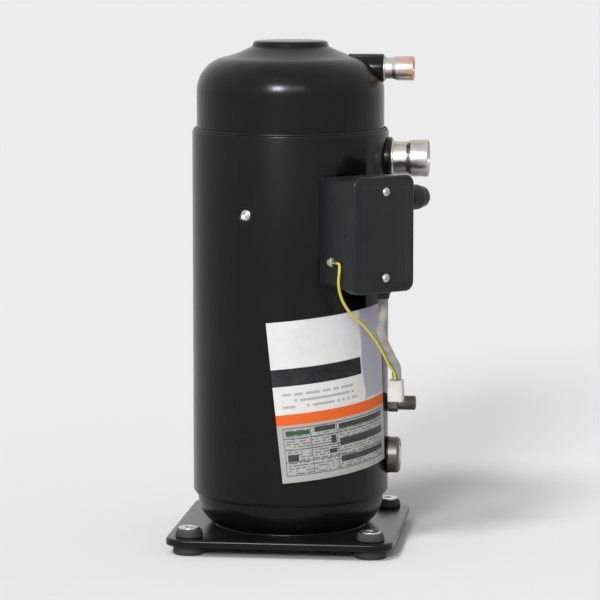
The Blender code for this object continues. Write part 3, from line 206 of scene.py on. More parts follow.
def group(name, inputs, outputs):
    """A new shader node group with named float and colour sockets."""
    tree = bpy.data.node_groups.new(name, "ShaderNodeTree")
    for direction, sockets in (("INPUT", inputs), ("OUTPUT", outputs)):
        for socket, value in sockets.items():
            kind = "NodeSocketColor" if isinstance(value, tuple) else "NodeSocketFloat"
            made = tree.interface.new_socket(name=socket, in_out=direction, socket_type=kind)
            if direction == "INPUT":
                made.default_value = value
    graph = Graph(tree)
    entry = tree.nodes.new("NodeGroupInput").outputs
    leave = tree.nodes.new("NodeGroupOutput")
    return tree, graph, entry, leave


def place_group(graph, tree, **sockets):
    made = graph.tree.nodes.new("ShaderNodeGroup")
    made.node_tree = tree
    for key, value in sockets.items():
        graph.feed(made, key.replace("_", " "), value)
    return made.outputs


# ---------------------------------------------------------------- shared surface effects
def make_drift():
    """Slow change of tone and gloss over a surface, as on any paint or casting."""
    tree, g, entry, leave = group(
        "tone_drift",
        {"Colour": colour(0.5, 0.5, 0.5), "Drifted": colour(0.4, 0.4, 0.4), "Scale": 12.0,
         "Roughness": 0.4, "Spread": 0.1},
        {"Colour": colour(0, 0, 0), "Roughness": 0.0})
    broad = g.noise(g.here(), entry["Scale"], 4.0, 0.6)
    fine = g.noise(g.here(), g.math("MULTIPLY", entry["Scale"], 9.0), 3.0, 0.5)
    amount = g.ramp(broad, 0.35, 0.68)
    g.feed(leave, "Colour", g.mix(amount, entry["Colour"], entry["Drifted"]))
    offset = g.math("MULTIPLY", g.math("SUBTRACT", g.math("ADD", broad, fine), 1.0), entry["Spread"])
    g.feed(leave, "Roughness", g.math("ADD", entry["Roughness"], offset, clamp=True))
    return tree


def make_dust():
    """Fine settled dust: most on faces that look up, broken by two noises."""
    tree, g, entry, leave = group(
        "settled_dust", {"Amount": 0.3, "Scale": 60.0, "Sides": 0.15}, {"Mask": 0.0})
    normal = g.split(g.add("ShaderNodeNewGeometry").outputs["Normal"])
    upward = g.ramp(normal["Z"], 0.15, 0.95, entry["Sides"], 1.0)
    cloud = g.ramp(g.noise(g.here(), entry["Scale"], 6.0, 0.65), 0.42, 0.72)
    specks = g.ramp(g.noise(g.here(), g.math("MULTIPLY", entry["Scale"], 24.0), 2.0, 0.5), 0.60, 0.72)
    both = g.math("ADD", g.math("MULTIPLY", cloud, 0.75), g.math("MULTIPLY", specks, 0.45))
    masked = g.math("MULTIPLY", g.math("MULTIPLY", both, upward), entry["Amount"], clamp=True)
    g.feed(leave, "Mask", masked)
    return tree


def make_wear():
    """Rubbed edges: convex corners, broken up by noise."""
    tree, g, entry, leave = group(
        "edge_wear", {"Amount": 0.5, "Scale": 220.0, "Start": 0.53}, {"Mask": 0.0})
    surface = g.add("ShaderNodeNewGeometry").outputs
    convex = g.ramp(surface["Pointiness"], 0.50, entry["Start"])
    softened = g.add("ShaderNodeBevel", {"samples": 4}, Radius=0.0012)
    agree = g.add("ShaderNodeVectorMath", {"operation": "DOT_PRODUCT"})
    g.feed(agree, "0", softened.outputs["Normal"])
    g.feed(agree, "1", surface["Normal"])
    edge = g.math("MULTIPLY", convex, g.ramp(agree.outputs["Value"], 0.90, 0.99, 1.0, 0.0))
    broken = g.ramp(g.noise(g.here(), entry["Scale"], 5.0, 0.6), 0.42, 0.62)
    g.feed(leave, "Mask", g.math("MULTIPLY", g.math("MULTIPLY", edge, broken), entry["Amount"], clamp=True))
    return tree


def make_peel():
    """Height of sprayed paint: a soft orange peel with the odd nib."""
    tree, g, entry, leave = group("paint_peel", {"Scale": 450.0, "Nibs": 0.3}, {"Height": 0.0})
    waves = g.noise(g.here(), entry["Scale"], 2.0, 0.4)
    nibs = g.ramp(g.noise(g.here(), g.math("MULTIPLY", entry["Scale"], 2.6), 1.0, 0.5), 0.74, 0.82)
    g.feed(leave, "Height", g.math("ADD", waves, g.math("MULTIPLY", nibs, entry["Nibs"])))
    return tree


def make_grain():
    """Height of moulded plastic, rubber or sand-cast metal."""
    tree, g, entry, leave = group("moulded_grain", {"Scale": 1400.0, "Coarse": 0.3}, {"Height": 0.0})
    cells = g.add("ShaderNodeTexVoronoi", {}, Scale=entry["Scale"], Vector=g.here())
    cloud = g.noise(g.here(), g.math("MULTIPLY", entry["Scale"], 0.25), 4.0, 0.6)
    mixed = g.math("ADD", cells.outputs["Distance"], g.math("MULTIPLY", cloud, entry["Coarse"]))
    g.feed(leave, "Height", mixed)
    return tree


def make_brushing():
    """Drawn or turned lines across the X axis, as height and as a mask."""
    tree, g, entry, leave = group("drawn_lines", {"Scale": 900.0}, {"Height": 0.0, "Mask": 0.0})
    x = g.split(g.here())["X"]
    along = g.add("ShaderNodeCombineXYZ", {}, X=x)
    lines = g.noise(along.outputs[0], entry["Scale"], 5.0, 0.7)
    g.feed(leave, "Height", lines)
    g.feed(leave, "Mask", g.ramp(lines, 0.35, 0.65))
    return tree


def make_marks():
    """Plain printed bars in rows: blank blocks with no letters, from UV."""
    tree, g, entry, leave = group(
        "printed_bars", {"Rows": 9.0, "Columns": 30.0, "Filled": 0.5, "Height": 0.4}, {"Mask": 0.0})
    uv = g.split(g.add("ShaderNodeTexCoord").outputs["UV"])
    across = g.math("MULTIPLY", uv["X"], entry["Columns"])
    down = g.math("MULTIPLY", uv["Y"], entry["Rows"])
    cell = g.add("ShaderNodeCombineXYZ", {}, X=g.math("FLOOR", across), Y=g.math("FLOOR", down))
    value = g.add("ShaderNodeTexWhiteNoise", {"noise_dimensions": "2D"}, Vector=cell.outputs[0])
    filled = g.math("LESS_THAN", value.outputs["Value"], entry["Filled"])
    inside = g.math("LESS_THAN", g.math("FRACT", down), entry["Height"])
    g.feed(leave, "Mask", g.math("MULTIPLY", filled, inside))
    return tree


DRIFT = make_drift()
DUST = make_dust()
WEAR = make_wear()
PEEL = make_peel()
GRAIN = make_grain()
BRUSHING = make_brushing()
MARKS = make_marks()


# ---------------------------------------------------------------- materials
def material(name, roughness=0.5, metallic=0.0, specular=0.5):
    made = bpy.data.materials.new(name)
    made.use_nodes = True
    shader = made.node_tree.nodes["Principled BSDF"]
    shader.inputs["Roughness"].default_value = roughness
    shader.inputs["Metallic"].default_value = metallic
    shader.inputs["Specular IOR Level"].default_value = specular
    return made, Graph(made.node_tree), shader


def bump(graph, shader, height, distance, strength=1.0):
    made = graph.add("ShaderNodeBump", {}, Strength=strength, Distance=distance, Height=height)
    graph.feed(shader, "Normal", made.outputs["Normal"])


def finish_surface(g, shader, drift, dust_mask, dust_tone, wear_mask=None, wear_tone=None):
    """Base colour and roughness from the drift, then wear, then dust over both."""
    tone = drift["Colour"]
    rough = drift["Roughness"]
    if wear_mask is not None:
        tone = g.mix(wear_mask, tone, wear_tone)
    tone = g.mix(dust_mask, tone, dust_tone)
    rough = g.math("ADD", rough, g.math("MULTIPLY", dust_mask, 0.5), clamp=True)
    g.feed(shader, "Base Color", tone)
    g.feed(shader, "Roughness", rough)


DUST_TONE = colour(0.20, 0.19, 0.17)


def black_paint():
    made, g, shader = material("black_shell_paint", specular=0.15)
    drift = place_group(g, DRIFT, Colour=colour(0.0042, 0.0044, 0.0044),
                        Drifted=colour(0.0064, 0.0065, 0.0062), Scale=9.0, Roughness=0.23, Spread=0.06)
    dust = place_group(g, DUST, Amount=0.07, Scale=38.0, Sides=0.04)["Mask"]
    wear = place_group(g, WEAR, Amount=0.30, Scale=260.0, Start=0.535)["Mask"]
    finish_surface(g, shader, drift, dust, DUST_TONE, wear, colour(0.075, 0.075, 0.072))
    bump(g, shader, place_group(g, PEEL, Scale=420.0, Nibs=0.4)["Height"], 0.00008, 0.5)
    return made


def box_plastic():
    made, g, shader = material("black_box_plastic", specular=0.22)
    drift = place_group(g, DRIFT, Colour=colour(0.0070, 0.0080, 0.0084),
                        Drifted=colour(0.0110, 0.0122, 0.0126), Scale=22.0, Roughness=0.33, Spread=0.08)
    dust = place_group(g, DUST, Amount=0.16, Scale=70.0, Sides=0.08)["Mask"]
    wear = place_group(g, WEAR, Amount=0.35, Scale=300.0, Start=0.53)["Mask"]
    finish_surface(g, shader, drift, dust, DUST_TONE, wear, colour(0.070, 0.072, 0.072))
    bump(g, shader, place_group(g, GRAIN, Scale=1500.0, Coarse=0.5)["Height"], 0.00006, 0.6)
    return made


def soft_rubber():
    made, g, shader = material("foot_rubber", specular=0.3)
    drift = place_group(g, DRIFT, Colour=colour(0.018, 0.018, 0.018), Drifted=colour(0.034, 0.033, 0.031),
                        Scale=60.0, Roughness=0.74, Spread=0.10)
    dust = place_group(g, DUST, Amount=0.55, Scale=90.0, Sides=0.25)["Mask"]
    finish_surface(g, shader, drift, dust, DUST_TONE)
    bump(g, shader, place_group(g, GRAIN, Scale=900.0, Coarse=0.8)["Height"], 0.00012, 0.6)
    return made


def metal(name, tone, drifted, roughness, spread=0.12, scale=50.0, lines=900.0, dust=0.15, metallic=1.0):
    made, g, shader = material(name, metallic=metallic)
    drift = place_group(g, DRIFT, Colour=tone, Drifted=drifted, Scale=scale, Roughness=roughness,
                        Spread=spread)
    mask = place_group(g, DUST, Amount=dust, Scale=90.0, Sides=0.1)["Mask"]
    finish_surface(g, shader, drift, mask, DUST_TONE)
    bump(g, shader, place_group(g, BRUSHING, Scale=lines)["Height"], 0.00004, 0.5)
    return made


def stub_steel():
    """Bare steel tube with straw tints at the braze and copper left in the socket's mouth."""
    made, g, shader = material("brazed_stub_steel", metallic=1.0)
    drift = place_group(g, DRIFT, Colour=colour(0.56, 0.55, 0.53), Drifted=colour(0.42, 0.40, 0.37),
                        Scale=55.0, Roughness=0.30, Spread=0.16)
    x = g.split(g.here())["X"]
    uneven = g.math("MULTIPLY", g.noise(g.here(), 120.0, 3.0, 0.6), 0.016)
    heat = g.ramp(g.math("ADD", x, uneven), 0.104, 0.118, 1.0, 0.0)
    tone = g.mix(g.math("MULTIPLY", heat, 0.45), drift["Colour"], colour(0.40, 0.27, 0.15))
    mouth = g.math("MULTIPLY", g.ramp(g.math("ADD", x, uneven), 0.118, 0.134, 0.0, 0.7),
                   g.math("GREATER_THAN", g.split(g.here())["Z"], SHELL_HIGH))
    tone = g.mix(mouth, tone, colour(0.62, 0.33, 0.20))
    dust = place_group(g, DUST, Amount=0.12, Scale=120.0, Sides=0.1)["Mask"]
    g.feed(shader, "Base Color", g.mix(dust, tone, DUST_TONE))
    g.feed(shader, "Roughness", g.math("ADD", drift["Roughness"], g.math("MULTIPLY", heat, 0.18)))
    bump(g, shader, place_group(g, BRUSHING, Scale=700.0)["Height"], 0.00005, 0.6)
    return made


def casting(name, tone, drifted, roughness=0.62, metallic=0.85):
    made, g, shader = material(name, metallic=metallic)
    drift = place_group(g, DRIFT, Colour=tone, Drifted=drifted, Scale=40.0, Roughness=roughness, Spread=0.14)
    g.feed(shader, "Base Color", drift["Colour"])
    g.feed(shader, "Roughness", drift["Roughness"])
    bump(g, shader, place_group(g, GRAIN, Scale=700.0, Coarse=1.2)["Height"], 0.00018, 0.7)
    return made


def laminations():
    made, g, shader = material("stacked_laminations", metallic=0.9)
    drift = place_group(g, DRIFT, Colour=colour(0.28, 0.30, 0.33), Drifted=colour(0.20, 0.21, 0.24),
                        Scale=30.0, Roughness=0.48, Spread=0.1)
    z = g.split(g.here())["Z"]
    sheets = g.math("FRACT", g.math("MULTIPLY", z, 2000.0))
    groove = g.math("LESS_THAN", sheets, 0.22)
    dark = g.math("MULTIPLY", groove, 0.6)
    g.feed(shader, "Base Color", g.mix(dark, drift["Colour"], colour(0.06, 0.06, 0.07)))
    g.feed(shader, "Roughness", drift["Roughness"])
    bump(g, shader, sheets, 0.00010, 0.6)
    return made


def varnished_copper():
    made, g, shader = material("varnished_copper", metallic=0.75)
    wires = g.add("ShaderNodeTexWave", {"bands_direction": "Z"}, Scale=260.0, Distortion=6.0, Vector=g.here())
    mask = g.ramp(wires.outputs["Fac"], 0.2, 0.8)
    g.feed(shader, "Base Color", g.mix(mask, colour(0.30, 0.10, 0.04), colour(0.68, 0.30, 0.15)))
    g.feed(shader, "Roughness", g.ramp(wires.outputs["Fac"], 0.0, 1.0, 0.45, 0.25))
    bump(g, shader, wires.outputs["Fac"], 0.0004, 0.8)
    return made


# Plain dark bars in the label's ruled foot: left, right, low and high as shares of its size.
LABEL_BARS = (
    (0.28, 0.44, 0.298, 0.330), (0.47, 0.94, 0.292, 0.326), (0.47, 0.94, 0.186, 0.232),
    (0.47, 0.94, 0.082, 0.118), (0.06, 0.14, 0.132, 0.172), (0.38, 0.44, 0.150, 0.178),
    (0.40, 0.44, 0.212, 0.262),
)


def label_film():
    """Printed label: white head, plain black bar, orange band, grey ruled foot and no words, with painted
    shade and reflection in lilac-grey towards its upper right and past the fold.
    """
    made, g, shader = material("label_film", roughness=0.42, specular=0.16)
    uv = g.split(g.add("ShaderNodeTexCoord").outputs["UV"])
    u = uv["X"]
    v = uv["Y"]

    def between(value, low, high):
        return g.math("MULTIPLY", g.math("GREATER_THAN", value, low), g.math("LESS_THAN", value, high))

    def window(left, right, low, high):
        return g.math("MULTIPLY", between(u, left, right), between(v, low, high))

    tone = colour(0.62, 0.62, 0.61)
    # Painted reflection and shade: the white greys and turns lilac towards the upper right, where the label
    # curves away.
    tint = g.ramp(g.math("ADD", u, v), 1.1, 1.9)
    tone = g.mix(g.math("MULTIPLY", tint, 0.35), tone, colour(0.50, 0.46, 0.62))
    foot = g.math("LESS_THAN", v, 0.36)
    tone = g.mix(foot, tone, colour(0.36, 0.36, 0.34))
    tone = g.mix(window(0.0, 0.72, 0.600, 0.708), tone, colour(0.010, 0.010, 0.012))
    tone = g.mix(window(0.0, 1.0, 0.358, 0.425), tone, colour(0.68, 0.105, 0.008))
    ink = colour(0.060, 0.060, 0.062)
    head = place_group(g, MARKS, Rows=26.0, Columns=46.0, Filled=0.62, Height=0.42)["Mask"]
    printed = g.math("MULTIPLY", head, window(0.06, 0.66, 0.46, 0.57))
    tone = g.mix(g.math("MULTIPLY", printed, 0.45), tone, ink)
    body = place_group(g, MARKS, Rows=60.0, Columns=64.0, Filled=0.62, Height=0.45)["Mask"]
    printed = g.math("MULTIPLY", body, window(0.06, 0.93, 0.04, 0.335))
    tone = g.mix(g.math("MULTIPLY", printed, 0.75), tone, ink)
    for low in (0.04, 0.125, 0.200, 0.270, 0.335):
        tone = g.mix(g.math("MULTIPLY", window(0.04, 0.95, low, low + 0.006), 0.8), tone, ink)
    for left in (0.04, 0.245, 0.450, 0.945):
        tone = g.mix(g.math("MULTIPLY", window(left, left + 0.005, 0.04, 0.341), 0.8), tone, ink)
    for left, right, low, high in LABEL_BARS:
        printed = g.math("MULTIPLY", window(left, right, low, high), 0.92)
        tone = g.mix(printed, tone, colour(0.014, 0.015, 0.015))
    tone = g.mix(window(0.06, 0.24, 0.292, 0.318), tone, colour(0.030, 0.075, 0.036))
    wander = g.math("MULTIPLY", g.math("SUBTRACT", g.noise(g.here(), 24.0, 2.0), 0.5), 0.10)
    from_fold = g.math("ABSOLUTE", g.math("SUBTRACT", g.math("ADD", u, wander), 0.735))
    upper = g.ramp(v, 0.430, 0.445)
    fold = g.math("MULTIPLY", g.ramp(from_fold, 0.0, 0.030, 1.0, 0.0), upper)
    # Painted shade past the fold: the turned-away strip is coloured darker and lilac-grey.
    painted_shade_past_fold = g.math("MULTIPLY", g.ramp(g.math("ADD", u, wander), 0.72, 0.76), upper)
    tone = g.mix(g.math("MULTIPLY", painted_shade_past_fold, 0.62), tone, colour(0.24, 0.23, 0.33))
    dust = place_group(g, DUST, Amount=0.30, Scale=55.0, Sides=0.6)["Mask"]
    tone = g.mix(dust, tone, colour(0.16, 0.15, 0.13))
    g.feed(shader, "Base Color", tone)
    rough = g.ramp(g.noise(g.here(), 90.0, 3.0), 0.3, 0.7, 0.34, 0.52)
    g.feed(shader, "Roughness", rough)
    creases = g.add("ShaderNodeTexNoise", {"noise_type": "RIDGED_MULTIFRACTAL"}, Scale=26.0, Detail=1.0)
    g.feed(creases, "Vector", g.here())
    relief = g.math("ADD", g.math("MULTIPLY", creases.outputs["Fac"], 0.35), g.math("MULTIPLY", fold, 1.6))
    bump(g, shader, relief, 0.0006, 0.8)
    return made


def earth_insulation():
    """Yellow insulation with one green stripe along it, from UV."""
    made, g, shader = material("earth_insulation", roughness=0.42, specular=0.4)
    u = g.split(g.add("ShaderNodeTexCoord").outputs["UV"])["X"]
    stripe = g.math("LESS_THAN", g.math("FRACT", g.math("ADD", u, 0.30)), 0.30)
    tone = g.mix(stripe, colour(0.58, 0.50, 0.035), colour(0.030, 0.19, 0.055))
    dust = place_group(g, DUST, Amount=0.45, Scale=160.0, Sides=0.5)["Mask"]
    g.feed(shader, "Base Color", g.mix(dust, tone, DUST_TONE))
    bump(g, shader, place_group(g, GRAIN, Scale=1200.0, Coarse=0.6)["Height"], 0.00004, 0.5)
    return made


def cable_sleeve():
    """Matt sleeve with the slight ribbing of the cores under it."""
    made, g, shader = material("cable_sleeve", roughness=0.62, specular=0.35)
    drift = place_group(g, DRIFT, Colour=colour(0.40, 0.39, 0.35), Drifted=colour(0.25, 0.24, 0.21),
                        Scale=70.0, Roughness=0.60, Spread=0.12)
    dust = place_group(g, DUST, Amount=0.50, Scale=120.0, Sides=0.5)["Mask"]
    uv = g.split(g.add("ShaderNodeTexCoord").outputs["UV"])
    twist = g.math("ADD", g.math("MULTIPLY", uv["X"], 3.0), g.math("MULTIPLY", uv["Y"], 2.0))
    cores = g.math("SINE", g.math("MULTIPLY", twist, 2.0 * math.pi))
    finish_surface(g, shader, drift, dust, DUST_TONE)
    bump(g, shader, cores, 0.0003, 0.6)
    return made


def moulding(name, tone, drifted, roughness=0.5, dust=0.3, grain=1200.0):
    made, g, shader = material(name, specular=0.4)
    drift = place_group(g, DRIFT, Colour=tone, Drifted=drifted, Scale=60.0, Roughness=roughness, Spread=0.1)
    mask = place_group(g, DUST, Amount=dust, Scale=110.0, Sides=0.2)["Mask"]
    finish_surface(g, shader, drift, mask, DUST_TONE)
    bump(g, shader, place_group(g, GRAIN, Scale=grain, Coarse=0.5)["Height"], 0.00005, 0.5)
    return made


def sight_lens():
    """Small glass with a pale moisture disc behind it."""
    made, g, shader = material("sight_lens", roughness=0.05, specular=0.6)
    point = g.split(g.here())
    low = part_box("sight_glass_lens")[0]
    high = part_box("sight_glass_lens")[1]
    side = g.math("SUBTRACT", point["Y"], 0.5 * (low.y + high.y))
    rise = g.math("SUBTRACT", point["Z"], 0.5 * (low.z + high.z))
    across = g.math("SQRT", g.math("ADD", g.math("MULTIPLY", side, side), g.math("MULTIPLY", rise, rise)))
    disc = g.ramp(across, 0.0042, 0.0048, 1.0, 0.0)
    g.feed(shader, "Base Color", g.mix(disc, colour(0.030, 0.032, 0.026), colour(0.18, 0.30, 0.12)))
    shader.inputs["Coat Weight"].default_value = 1.0
    shader.inputs["Coat Roughness"].default_value = 0.03
    return made


PAINT = black_paint()
PLASTIC = box_plastic()
RUBBER = soft_rubber()
ZINC = metal("zinc_plated_steel", colour(0.60, 0.60, 0.57), colour(0.44, 0.44, 0.42), 0.28, lines=1200.0)
FITTING = metal("dark_fitting_steel", colour(0.070, 0.068, 0.064), colour(0.130, 0.122, 0.110), 0.42,
                dust=0.3, metallic=0.8)
STUB = stub_steel()
# Painted highlight: the plug-weld beads are real, and their bright bare metal colour stands in for the glint
# they show.
WELD_GLINT_METAL = metal("plug_weld_painted_glint", colour(0.62, 0.61, 0.59), colour(0.42, 0.40, 0.37), 0.30,
             scale=300.0, lines=1500.0)
LENS = sight_lens()
LABEL = label_film()
EARTH = earth_insulation()
SLEEVE = cable_sleeve()
CONNECTOR = moulding("connector_plastic", colour(0.60, 0.59, 0.54), colour(0.46, 0.45, 0.40), 0.48)
TERMINAL = moulding("terminal_moulding", colour(0.11, 0.085, 0.065), colour(0.08, 0.062, 0.05), 0.5)
BRONZE = metal("bearing_bronze", colour(0.55, 0.36, 0.16), colour(0.44, 0.28, 0.12), 0.36, dust=0.0)
GROUND = metal("ground_steel", colour(0.58, 0.58, 0.58), colour(0.50, 0.50, 0.50), 0.22,
               lines=1500.0, dust=0.0)
MACHINED = metal("machined_iron", colour(0.34, 0.34, 0.34), colour(0.27, 0.27, 0.28), 0.36,
                 lines=1100.0, dust=0.0)
CAST = casting("cast_iron_skin", colour(0.17, 0.17, 0.17), colour(0.12, 0.12, 0.125))
ALUMINIUM = casting("die_cast_aluminium", colour(0.66, 0.67, 0.68), colour(0.55, 0.56, 0.57), 0.42, 1.0)
LAMINATED = laminations()
COPPER = varnished_copper()

CAD_FINISH = {
    "earth_screw": ZINC, "earth_lug": ZINC, "hermetic_terminal": ZINC, "valve_core": BRONZE,
    "terminal_block": TERMINAL, "orbiting_scroll": MACHINED, "fixed_scroll": MACHINED,
    "oldham_ring": ALUMINIUM, "main_bearing_housing": CAST, "crankshaft": GROUND, "drive_bush": GROUND,
    "drive_bearing": BRONZE, "main_bearing_bush": BRONZE, "lower_bearing_bush": BRONZE,
    "oil_pickup": ZINC, "lower_bearing_bracket": CAST, "stator_core": LAMINATED, "rotor_core": LAMINATED,
    "upper_winding": COPPER, "lower_winding": COPPER, "upper_end_ring": ALUMINIUM,
    "lower_end_ring": ALUMINIUM, "upper_counterweight": CAST, "lower_counterweight": CAST,
    "separator_plate": MACHINED, "floating_seal": MACHINED, "check_valve_cage": GROUND,
    "check_valve_disc": GROUND,
}


# ---------------------------------------------------------------- mesh helpers
def direction(azimuth):
    """Level unit vector; azimuths run from the front (-Y) towards +X."""
    angle = math.radians(azimuth)
    return Vector((math.sin(angle), -math.cos(angle), 0.0))


def outward_frame(azimuth, height=0.0, reach=0.0):
    """Local +X points out of the shell, +Y to the right seen from outside, +Z up."""
    out = direction(azimuth)
    right = Vector((-out.y, out.x, 0.0))
    placed = Matrix((out, right, Vector((0.0, 0.0, 1.0)))).transposed().to_4x4()
    placed.translation = out * reach + Vector((0.0, 0.0, height))
    return placed


def along_x(x, y, z):
    """Local +Z becomes +X of the frame."""
    return Matrix.Translation((x, y, z)) @ Matrix.Rotation(0.5 * math.pi, 4, "Y")


def polar(radius, angle, height):
    """Point at a radius and an angle about Z."""
    return radius * math.cos(angle), radius * math.sin(angle), height


def join_rings(bm, rings):
    """Faces between each ring of vertices and the next."""
    for low, high in zip(rings, rings[1:]):
        for i in range(len(low)):
            j = (i + 1) % len(low)
            bm.faces.new((low[i], low[j], high[j], high[i]))


def cap_ends(bm, rings):
    bm.faces.new(list(reversed(rings[0])))
    bm.faces.new(rings[-1])


def new_piece(name, mesh, finish, body="casing", smooth=35.0):
    made = bpy.data.objects.new(name, mesh)
    bpy.context.scene.collection.objects.link(made)
    mesh.materials.clear()
    mesh.materials.append(finish)
    mesh.update()
    if smooth:
        mesh.shade_smooth()
        mesh.set_sharp_from_angle(angle=math.radians(smooth))
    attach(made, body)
    return made


def mesh_from(bm, name, placement=None):
    if placement is not None:
        bmesh.ops.transform(bm, matrix=placement, verts=bm.verts)
    bmesh.ops.recalc_face_normals(bm, faces=bm.faces)
    mesh = bpy.data.meshes.new(name)
    bm.to_mesh(mesh)
    bm.free()
    return mesh


def spin(profile, steps, closed=False):
    """Turn a profile of (radius, height) points about Z; radius 0 points become poles."""
    bm = bmesh.new()
    rings = []
    for radius, height in profile:
        if radius < 1e-7:
            rings.append([bm.verts.new((0.0, 0.0, height))])
            continue
        turn = 2.0 * math.pi / steps
        rings.append([bm.verts.new(polar(radius, i * turn, height)) for i in range(steps)])
    pairs = list(zip(rings, rings[1:]))
    if closed:
        pairs.append((rings[-1], rings[0]))
    for low, high in pairs:
        for i in range(steps):
            j = (i + 1) % steps
            if len(low) == 1 and len(high) == 1:
                break
            if len(low) == 1:
                bm.faces.new((low[0], high[j], high[i]))
            elif len(high) == 1:
                bm.faces.new((low[i], low[j], high[0]))
            else:
                bm.faces.new((low[i], low[j], high[j], high[i]))
    return bm


def fillet(corner, before, after, radius, steps=5):
    """Points that round one corner of a profile."""
    corner = Vector(corner)
    back = (Vector(before) - corner).normalized()
    ahead = (Vector(after) - corner).normalized()
    half = 0.5 * back.angle(ahead)
    cut = radius / math.tan(half)
    centre = corner + (back + ahead).normalized() * (radius / math.sin(half))
    start = corner + back * cut - centre
    end = corner + ahead * cut - centre
    first = math.atan2(start.y, start.x)
    turn = (math.atan2(end.y, end.x) - first + math.pi) % (2.0 * math.pi) - math.pi
    points = []
    for step in range(steps + 1):
        angle = first + turn * step / steps
        points.append((centre.x + radius * math.cos(angle), centre.y + radius * math.sin(angle)))
    return points


def rounded_profile(points):
    """Profile of (radius, height, fillet) rows into plain points."""
    result = []
    count = len(points)
    for index, (radius, height, round_by) in enumerate(points):
        if not round_by:
            result.append((radius, height))
            continue
        before = points[(index - 1) % count][:2]
        after = points[(index + 1) % count][:2]
        result.extend(fillet((radius, height), before, after, round_by))
    return result


def turned_piece(name, profile, finish, placement, steps, closed=False):
    bm = spin(rounded_profile(profile), steps, closed)
    return new_piece(name, mesh_from(bm, name, placement), finish)


def carve(shape, steps, placement=None):
    """Mesh of a shape after Boolean steps, each (operation, tool shape, tool placement)."""
    helpers = [bpy.data.objects.new("carved", mesh_from(shape, "carved"))]
    for operation, tool, tool_placement in steps:
        helper = bpy.data.objects.new("tool", mesh_from(tool, "tool", tool_placement))
        helpers.append(helper)
        step = helpers[0].modifiers.new("step", "BOOLEAN")
        step.operation = operation
        step.solver = "EXACT"
        step.object = helper
    for helper in helpers:
        bpy.context.scene.collection.objects.link(helper)
    bpy.context.view_layer.update()
    ready = helpers[0].evaluated_get(bpy.context.evaluated_depsgraph_get())
    mesh = bpy.data.meshes.new_from_object(ready)
    for helper in helpers:
        bpy.data.objects.remove(helper, do_unlink=True)
    if placement is not None:
        mesh.transform(placement)
    return mesh


def round_turn(index, count, radius):
    """Placement of one of a number of like tools, evenly spaced about Z."""
    return Matrix.Rotation(2.0 * math.pi * index / count, 4, "Z") @ Matrix.Translation((radius, 0.0, 0.0))


def rod(radius, low, high, steps=48):
    return spin([(0.0, low), (radius, low), (radius, high), (0.0, high)], steps)


def hexagon(radius, low, high, chamfer=0.0012):
    """Six-sided nut with its corners chamfered at both ends."""
    bm = bmesh.new()
    rings = []
    for height, reach in ((low, radius - chamfer), (low + 0.5 * chamfer, radius),
                          (high - 0.5 * chamfer, radius), (high, radius - chamfer)):
        rings.append([bm.verts.new(polar(reach, i * math.pi / 3, height)) for i in range(6)])
    join_rings(bm, rings)
    cap_ends(bm, rings)
    return bm


def bored_nut(radius, low, high, bore):
    bm = bmesh.new()
    bm.from_mesh(carve(hexagon(radius, low, high), [("DIFFERENCE", bore, None)]))
    return bm


def sweep(points, radius, sides, name, finish, spiral=0.0):
    """Round tube along points, with UV: U once round, V in turns of its own girth."""
    bm = bmesh.new()
    layer = bm.loops.layers.uv.new("UVMap")
    path = [Vector(p) for p in points]
    side = Vector((1.0, 0.0, 0.0))
    rings = []
    spans = []
    travelled = 0.0
    for index, point in enumerate(path):
        ahead = path[min(index + 1, len(path) - 1)] - path[max(index - 1, 0)]
        ahead.normalize()
        side = (side - ahead * side.dot(ahead)).normalized()
        up = ahead.cross(side)
        if index:
            travelled += (point - path[index - 1]).length
        twist = spiral * travelled
        ring = []
        for i in range(sides):
            angle = 2.0 * math.pi * i / sides + twist
            across = point + side * (radius * math.cos(angle))
            ring.append(bm.verts.new(across + up * (radius * math.sin(angle))))
        rings.append(ring)
        spans.append(travelled / (2.0 * math.pi * radius))
    for index, (low, high) in enumerate(zip(rings, rings[1:])):
        for i in range(sides):
            j = (i + 1) % sides
            face = bm.faces.new((low[i], low[j], high[j], high[i]))
            corners = ((i, index), (i + 1, index), (i + 1, index + 1), (i, index + 1))
            for loop, (u, v) in zip(face.loops, corners):
                loop[layer].uv = (u / sides, spans[v])
    cap_ends(bm, rings)
    return new_piece(name, mesh_from(bm, name), finish, smooth=60.0)


def on_box(route):
    """Points of a route, from the terminal box's frame to the part's."""
    place = outward_frame(BOX_AZIMUTH, BOX_Z, SHELL_RADIUS)
    return [place @ Vector(point) for point in route]


def curved(route, spacing):
    """Points at an even spacing on a Catmull-Rom curve; the first and last runs stay straight."""
    knots = route[1:-1]
    knots = [2.0 * knots[0] - knots[1]] + knots + [2.0 * knots[-1] - knots[-2]]
    fine = []
    for a, b, c, d in zip(knots, knots[1:], knots[2:], knots[3:]):
        for i in range(16):
            t = i / 16.0
            fine.append(0.5 * (2.0 * b + (c - a) * t + (2.0 * a - 5.0 * b + 4.0 * c - d) * t ** 2
                               + (3.0 * b - a - 3.0 * c + d) * t ** 3))
    fine.append(knots[-2])
    picked = [route[0], fine[0]]
    travelled = 0.0
    for a, b in zip(fine, fine[1:]):
        travelled += (b - a).length
        if travelled >= spacing:
            picked.append(b)
            travelled = 0.0
    if (picked[-1] - fine[-1]).length > 0.3 * spacing:
        picked.append(fine[-1])
    picked.append(route[-1])
    return picked


# ---------------------------------------------------------------- camera
def make_camera():
    angle = math.radians(VIEW_AZIMUTH)
    data = bpy.data.cameras.new("front_view")
    camera = bpy.data.objects.new("front_view", data)
    bpy.context.scene.collection.objects.link(camera)
    place = Vector((CAMERA_DISTANCE * math.sin(angle), -CAMERA_DISTANCE * math.cos(angle), CAMERA_HEIGHT))
    camera.location = place
    camera.rotation_euler = (AIM - place).to_track_quat("-Z", "Y").to_euler()
    data.sensor_width = SENSOR
    data.lens = SENSOR * (AIM - place).length / FRAME_HEIGHT
    data.clip_start = 0.05
    bpy.context.scene.camera = camera


